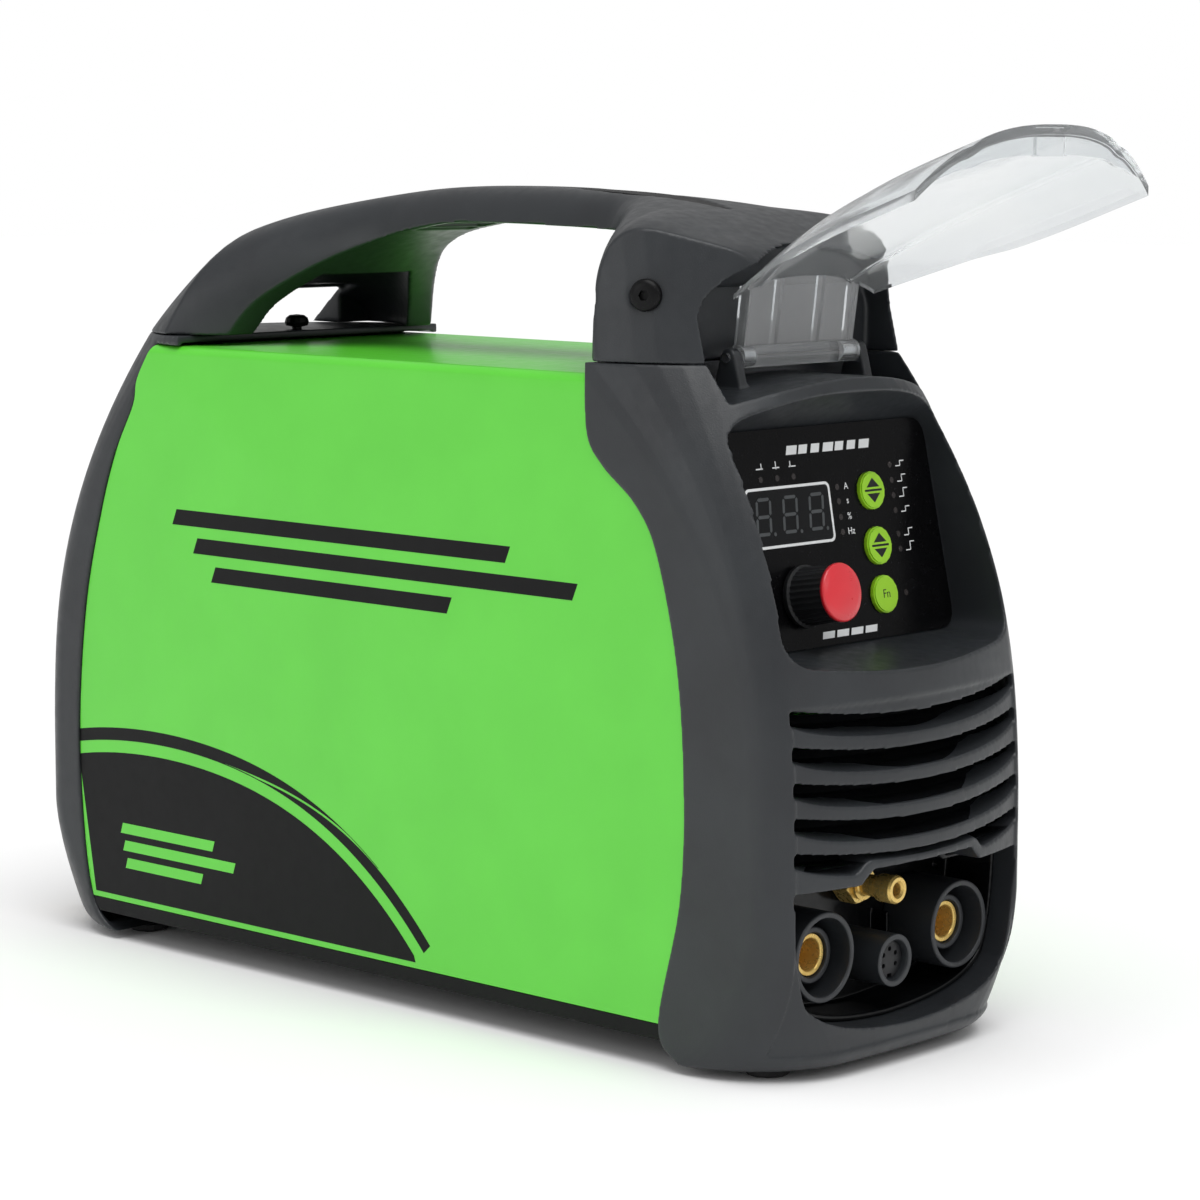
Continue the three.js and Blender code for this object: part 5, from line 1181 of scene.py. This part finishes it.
class Recipe:
    """A material whose colour, roughness and grain come from noise over the piece."""

    def __init__(self, name):
        self.material = bpy.data.materials.new(name)
        self.material.use_nodes = True
        self.tree = self.material.node_tree
        self.shader = self.tree.nodes["Principled BSDF"]

    def add(self, kind, **inputs):
        made = self.tree.nodes.new(kind)
        for name, value in inputs.items():
            socket = made.inputs[name.replace("_", " ").title()]
            if isinstance(value, bpy.types.NodeSocket):
                self.tree.links.new(value, socket)
            else:
                socket.default_value = value
        return made

    def noise(self, scale, detail=3.0, stretch=(1, 1, 1)):
        place = self.add("ShaderNodeTexCoord").outputs["Object"]
        mapped = self.add("ShaderNodeMapping", vector=place, scale=stretch).outputs[0]
        return self.add("ShaderNodeTexNoise", vector=mapped, scale=scale, detail=detail).outputs[0]

    def spread(self, value, low, high, start=0.3, end=0.7):
        return self.add(
            "ShaderNodeMapRange", value=value, from_min=start, from_max=end, to_min=low, to_max=high
        ).outputs[0]

    def blend(self, share, first, second):
        mix = self.tree.nodes.new("ShaderNodeMix")
        mix.data_type = "RGBA"
        for index, value in ((0, share), (6, first), (7, second)):
            if isinstance(value, bpy.types.NodeSocket):
                self.tree.links.new(value, mix.inputs[index])
            else:
                mix.inputs[index].default_value = value
        return mix.outputs[2]

    def product(self, first, second):
        made = self.tree.nodes.new("ShaderNodeMath")
        made.operation = "MULTIPLY"
        self.tree.links.new(first, made.inputs[0])
        self.tree.links.new(second, made.inputs[1])
        return made.outputs[0]

    def edges(self, radius, amount):
        """Share of wear: where a rounded normal parts from the true one, broken up by noise."""
        rounded_normal = self.add("ShaderNodeBevel", radius=radius * MM)
        rounded_normal.samples = 4
        dot = self.tree.nodes.new("ShaderNodeVectorMath")
        dot.operation = "DOT_PRODUCT"
        self.tree.links.new(rounded_normal.outputs[0], dot.inputs[0])
        self.tree.links.new(self.add("ShaderNodeNewGeometry").outputs["Normal"], dot.inputs[1])
        bent = self.spread(dot.outputs["Value"], amount, 0.0, 0.86, 0.985)
        return self.product(bent, self.spread(self.noise(260, 4), 0.0, 1.0, 0.42, 0.62))

    def set(self, **inputs):
        for name, value in inputs.items():
            socket = self.shader.inputs[name.replace("_", " ")]
            if isinstance(value, bpy.types.NodeSocket):
                self.tree.links.new(value, socket)
            else:
                socket.default_value = value

    def grain(self, scale, depth, detail=2.0, stretch=(1, 1, 1)):
        bump = self.add("ShaderNodeBump", distance=depth * MM, height=self.noise(scale, detail, stretch))
        self.set(Normal=bump.outputs[0])

    def coat(self, weight, roughness):
        self.set(Coat_Weight=weight, Coat_Roughness=roughness)


def plastic(name, colour, other, worn, roughness, grain, wear=0.3, specular=0.5):
    """Moulded plastic: faint patches, paler rubbed edges, and a fine grain given as (per metre, depth)."""
    recipe = Recipe(name)
    patches = recipe.blend(recipe.spread(recipe.noise(28, 4), 0, 1), tone(*colour), tone(*other))
    recipe.set(Base_Color=recipe.blend(recipe.edges(0.7, wear), patches, tone(*worn)))
    recipe.set(Roughness=recipe.spread(recipe.noise(190, 5), *roughness), Specular_IOR_Level=specular)
    recipe.grain(*grain)
    return recipe


def metal(name, colour, other, roughness, grain, stretch=(1, 1, 1)):
    """Bare metal: tarnish patches and a fine drawn or turned grain."""
    recipe = Recipe(name)
    tarnish = recipe.spread(recipe.noise(120, 5), 0, 1)
    recipe.set(Base_Color=recipe.blend(tarnish, tone(*colour), tone(*other)), Metallic=1.0)
    recipe.set(Roughness=recipe.spread(recipe.noise(500, 4, stretch), *roughness))
    recipe.grain(*grain, stretch=stretch)
    return recipe


def charcoal_plastic():
    colours = (44, 47, 50), (38, 40, 43), (80, 84, 88)
    return plastic("charcoal_plastic", *colours, (0.32, 0.44), (1500, 0.05), 0.35, specular=0.4)


def gloss_black_plastic():
    colours = (14, 15, 17), (10, 11, 12), (44, 46, 48)
    return plastic("gloss_black_plastic", *colours, (0.12, 0.24), (300, 0.012), 0.2, specular=0.22)


def satin_black_plastic():
    colours = (28, 29, 31), (22, 23, 24), (64, 65, 67)
    return plastic("satin_black_plastic", *colours, (0.34, 0.48), (1400, 0.03), specular=0.3)


def green_paint():
    colours = (92, 208, 54), (88, 202, 50), (126, 226, 96)
    recipe = plastic("green_paint", *colours, (0.3, 0.4), (420, 0.02), 0.25)
    recipe.coat(0.25, 0.2)
    return recipe


def black_paint():
    colours = (14, 14, 15), (10, 10, 11), (60, 60, 62)
    return plastic("black_paint", *colours, (0.3, 0.44), (420, 0.02), specular=0.15)


def lime_plastic():
    return plastic("lime_plastic", (160, 218, 40), (150, 208, 34), (190, 232, 96), (0.3, 0.42), (900, 0.02))


def red_plastic():
    recipe = plastic("red_plastic", (222, 44, 54), (206, 34, 46), (240, 100, 100), (0.26, 0.4), (900, 0.02))
    recipe.coat(0.3, 0.15)
    return recipe


def clear_plastic():
    """Clear moulded cover with faint flow marks and light scratches."""
    recipe = Recipe("clear_plastic")
    flow = recipe.spread(recipe.noise(18, 3), 0, 1)
    recipe.set(Base_Color=recipe.blend(flow, tone(240, 242, 243), tone(233, 236, 238)))
    recipe.set(Roughness=recipe.spread(recipe.noise(240, 5, (1, 6, 1)), 0.02, 0.09))
    recipe.grain(60, 0.12, 1)
    recipe.set(Transmission_Weight=0.9, IOR=1.4, Specular_IOR_Level=0.6)
    return recipe


def rubber():
    return plastic("rubber", (30, 30, 31), (24, 24, 25), (60, 60, 61), (0.62, 0.8), (900, 0.08), 0.2)


def hose_rubber():
    return plastic("hose_rubber", (28, 29, 31), (22, 23, 24), (50, 50, 52), (0.4, 0.55), (700, 0.04), 0.1)


def brass():
    recipe = metal("brass", (232, 202, 122), (214, 178, 96), (0.22, 0.36), (900, 0.012))
    recipe.set(Metallic=0.6)
    return recipe


def steel():
    return metal("steel", (196, 198, 200), (168, 170, 173), (0.24, 0.4), (1200, 0.012))


def aluminium():
    return metal("aluminium", (206, 208, 210), (184, 186, 189), (0.3, 0.45), (900, 0.02), (1, 0.06, 1))


def copper():
    return metal("copper", (206, 128, 84), (176, 100, 64), (0.25, 0.42), (800, 0.02))


def circuit_board():
    """Green resist with paler edges."""
    return plastic("circuit_board", (20, 92, 50), (16, 78, 42), (90, 130, 80), (0.25, 0.4), (500, 0.02))


def ferrite():
    return plastic("ferrite", (58, 58, 60), (46, 46, 48), (92, 92, 94), (0.5, 0.7), (700, 0.08))


def capacitor_sleeve():
    colours = (30, 62, 140), (24, 52, 122), (70, 100, 170)
    return plastic("capacitor_sleeve", *colours, (0.22, 0.35), (300, 0.02))


def white_ink():
    return plastic("white_ink", (236, 238, 238), (222, 224, 225), (240, 240, 240), (0.35, 0.5), (900, 0.01), 0)


def dim_segments():
    return plastic("dim_segments", (66, 70, 72), (58, 62, 64), (70, 72, 74), (0.3, 0.4), (600, 0.01), 0)


def display_window():
    colours = (22, 23, 25), (18, 19, 20), (40, 42, 44)
    return plastic("display_window", *colours, (0.06, 0.14), (120, 0.008), 0.1, specular=0.15)


def panel_film():
    """Near-black printed film of the control panel."""
    colours = (10, 10, 12), (8, 8, 9), (30, 31, 33)
    return plastic("panel_film", *colours, (0.2, 0.3), (500, 0.01), 0.1, specular=0.1)


def led_lens():
    return plastic("led_lens", (40, 34, 34), (32, 26, 26), (60, 50, 50), (0.2, 0.3), (500, 0.01), 0)


RECIPES = (
    charcoal_plastic, gloss_black_plastic, satin_black_plastic, green_paint, black_paint, lime_plastic,
    red_plastic, clear_plastic, rubber, hose_rubber, brass, steel, aluminium, copper, circuit_board, ferrite,
    capacitor_sleeve, white_ink, dim_segments, display_window, panel_film, led_lens,
)
finishes = {recipe.__name__: recipe().material for recipe in RECIPES}


# ---------------------------------------------------------------- putting it together
def place(piece, body, slot, *nodes, finish=None):
    """Gives a piece its finish, the body it rides on and the CAD nodes it stands for."""
    piece.data.materials.clear()
    piece.data.materials.append(finishes[finish or slot])
    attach(piece, body)
    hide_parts(*nodes)
    return piece


def dress_node(node, finish, width=0.4, segments=2):
    """A CAD node keeps its mesh and gets round edges and its finish."""
    holder = frame["nodes"][node]
    holder.data.materials.clear()
    holder.data.materials.append(finishes[finish])
    eased(holder, width, segments, 35)


place(front_housing(), "case", "charcoal_plastic", "front_housing")
place(louvre_slats(), "case", "gloss_black_plastic")
place(rear_housing(), "case", "charcoal_plastic", "rear_housing")
place(metal_cover(), "case", "green_paint", "metal_cover")
place(handle(), "case", "charcoal_plastic", "handle")
place(grip_inlay(), "case", "rubber", "grip_inlay")
for end, side in (("left", -1), ("right", 1)):
    # the screw caps' black finish is partly painted shade, standing for the shade deep in the screw recesses
    place(screw_cap(f"screw_cap_{end}", side), "case", "black_paint", f"handle_screw_{end}")
    place(side_graphics(f"side_graphics_{end}", side), "case", "black_paint")
    place(side_mark(f"side_mark_{end}", side), "case", "green_paint")

place(clear_cover(), "cover", "clear_plastic", "clear_cover")
place(knob_skirt(), "knob", "satin_black_plastic", "encoder_knob")
place(knob_top(), "knob", "red_plastic", "knob_cap")

place(panel_print(), "case", "gloss_black_plastic", finish="white_ink")
place(led_lenses(), "case", "gloss_black_plastic", finish="led_lens")
place(display_digits(), "case", "gloss_black_plastic", finish="dim_segments")
for (button, v), body in zip(BUTTONS.items(), ("upper_button", "lower_button", "fn_button")):
    place(button_symbol(button, v), body, "satin_black_plastic")

place(connector_tray(), "case", "gloss_black_plastic", "connector_panel")
for end, side in (("positive", -1), ("negative", 1)):
    place(socket_collar(f"{end}_collar", side), "case", "charcoal_plastic", f"{end}_socket_collar")
    place(socket_insert(f"{end}_insert", side), "case", "brass", f"{end}_socket_insert")
place(control_socket_ring(), "case", "charcoal_plastic", "control_socket_shell")
place(control_socket_core(), "case", "satin_black_plastic", "control_socket_insert")
place(gas_fitting(), "case", "brass", "gas_outlet_fitting")
place(cable_gland(), "case", "satin_black_plastic", "cable_gland")
place(gas_inlet(), "case", "brass", "gas_inlet_fitting")

NODE_FINISHES = {"display_window": "display_window", "control_membrane": "panel_film"}
for part in frame["record"]["subparts"]:
    node, finish = part["node"], part["material_slot"]
    if not frame["nodes"][node].hide_render:
        dress_node(node, NODE_FINISHES.get(node, finish))


# ---------------------------------------------------------------- camera, light and floor
CAMERA_PLACE = Vector((-1.1278, -1.0898, 0.3712))
CAMERA_TURN, CAMERA_FALL, CAMERA_ROLL = 46.79, 7.354, 0.187
CAMERA_LENS = 109.19
MIDDLE = Vector((0, 0, 0.17))


def add_camera():
    """Camera at the reference view: to the left of the front, a little above the middle."""
    data = bpy.data.cameras.new("camera")
    data.lens, data.sensor_width = CAMERA_LENS, 36
    camera = linked("camera", data)
    turn, fall, roll = (math.radians(angle) for angle in (CAMERA_TURN, CAMERA_FALL, CAMERA_ROLL))
    forward = Vector((math.sin(turn) * math.cos(fall), math.cos(turn) * math.cos(fall), -math.sin(fall)))
    level = Vector((math.cos(turn), -math.sin(turn), 0))
    upright = level.cross(forward)
    right = level * math.cos(roll) + upright * math.sin(roll)
    up = upright * math.cos(roll) - level * math.sin(roll)
    camera.matrix_world = frame_matrix(right, up, -forward, CAMERA_PLACE)
    bpy.context.scene.camera = camera


def aimed(name, data, azimuth, elevation, distance):
    """A lamp that looks at the middle of the part. Azimuth 0 is in front of it, 90 on its right."""
    lamp = linked(name, data)
    turn, rise = math.radians(azimuth), math.radians(elevation)
    away = Vector((math.sin(turn) * math.cos(rise), -math.cos(turn) * math.cos(rise), math.sin(rise)))
    lamp.location = MIDDLE + away * distance
    lamp.rotation_mode = "QUATERNION"
    lamp.rotation_quaternion = away.to_track_quat("Z", "Y")


def add_light(name, azimuth, elevation, distance, size, power):
    data = bpy.data.lights.new(name, "AREA")
    data.shape = "SQUARE"
    data.size, data.energy = size, power
    aimed(name, data, azimuth, elevation, distance)


def add_sun(name, azimuth, elevation, angle, strength):
    data = bpy.data.lights.new(name, "SUN")
    data.angle, data.energy = math.radians(angle), strength
    aimed(name, data, azimuth, elevation, 0)


def add_floor():
    floor = block("floor", (-9000, -9000, -60), (9000, 9000, -0.2))
    recipe = Recipe("floor")
    pale = recipe.blend(recipe.noise(2, 2), tone(252, 252, 252), tone(250, 250, 250))
    recipe.set(Base_Color=pale, Roughness=0.8)
    floor.data.materials.append(recipe.material)


def add_world():
    """White where it is seen, through the clear cover too, and half as strong as light."""
    world = bpy.data.worlds.new("studio")
    world.use_nodes = True
    bpy.context.scene.world = world
    tree = world.node_tree
    backdrop = tree.nodes["Background"]
    backdrop.inputs["Color"].default_value = (1, 1, 1, 1)
    path = tree.nodes.new("ShaderNodeLightPath")
    strength = tree.nodes.new("ShaderNodeMapRange")
    strength.inputs["To Min"].default_value = 0.5
    strength.inputs["To Max"].default_value = 1.0
    seen = tree.nodes.new("ShaderNodeMath")
    seen.operation = "MAXIMUM"
    tree.links.new(path.outputs["Is Camera Ray"], seen.inputs[0])
    tree.links.new(path.outputs["Is Transmission Ray"], seen.inputs[1])
    tree.links.new(seen.outputs[0], strength.inputs["Value"])
    tree.links.new(strength.outputs[0], backdrop.inputs["Strength"])
    bpy.context.scene.view_settings.view_transform = "Standard"


add_camera()
add_sun("top", -30, 70, 50, 2.0)
add_light("left", -100, 20, 2.4, 1.4, 7)
add_light("front", 10, 25, 2.2, 0.7, 3)
add_floor()
add_world()
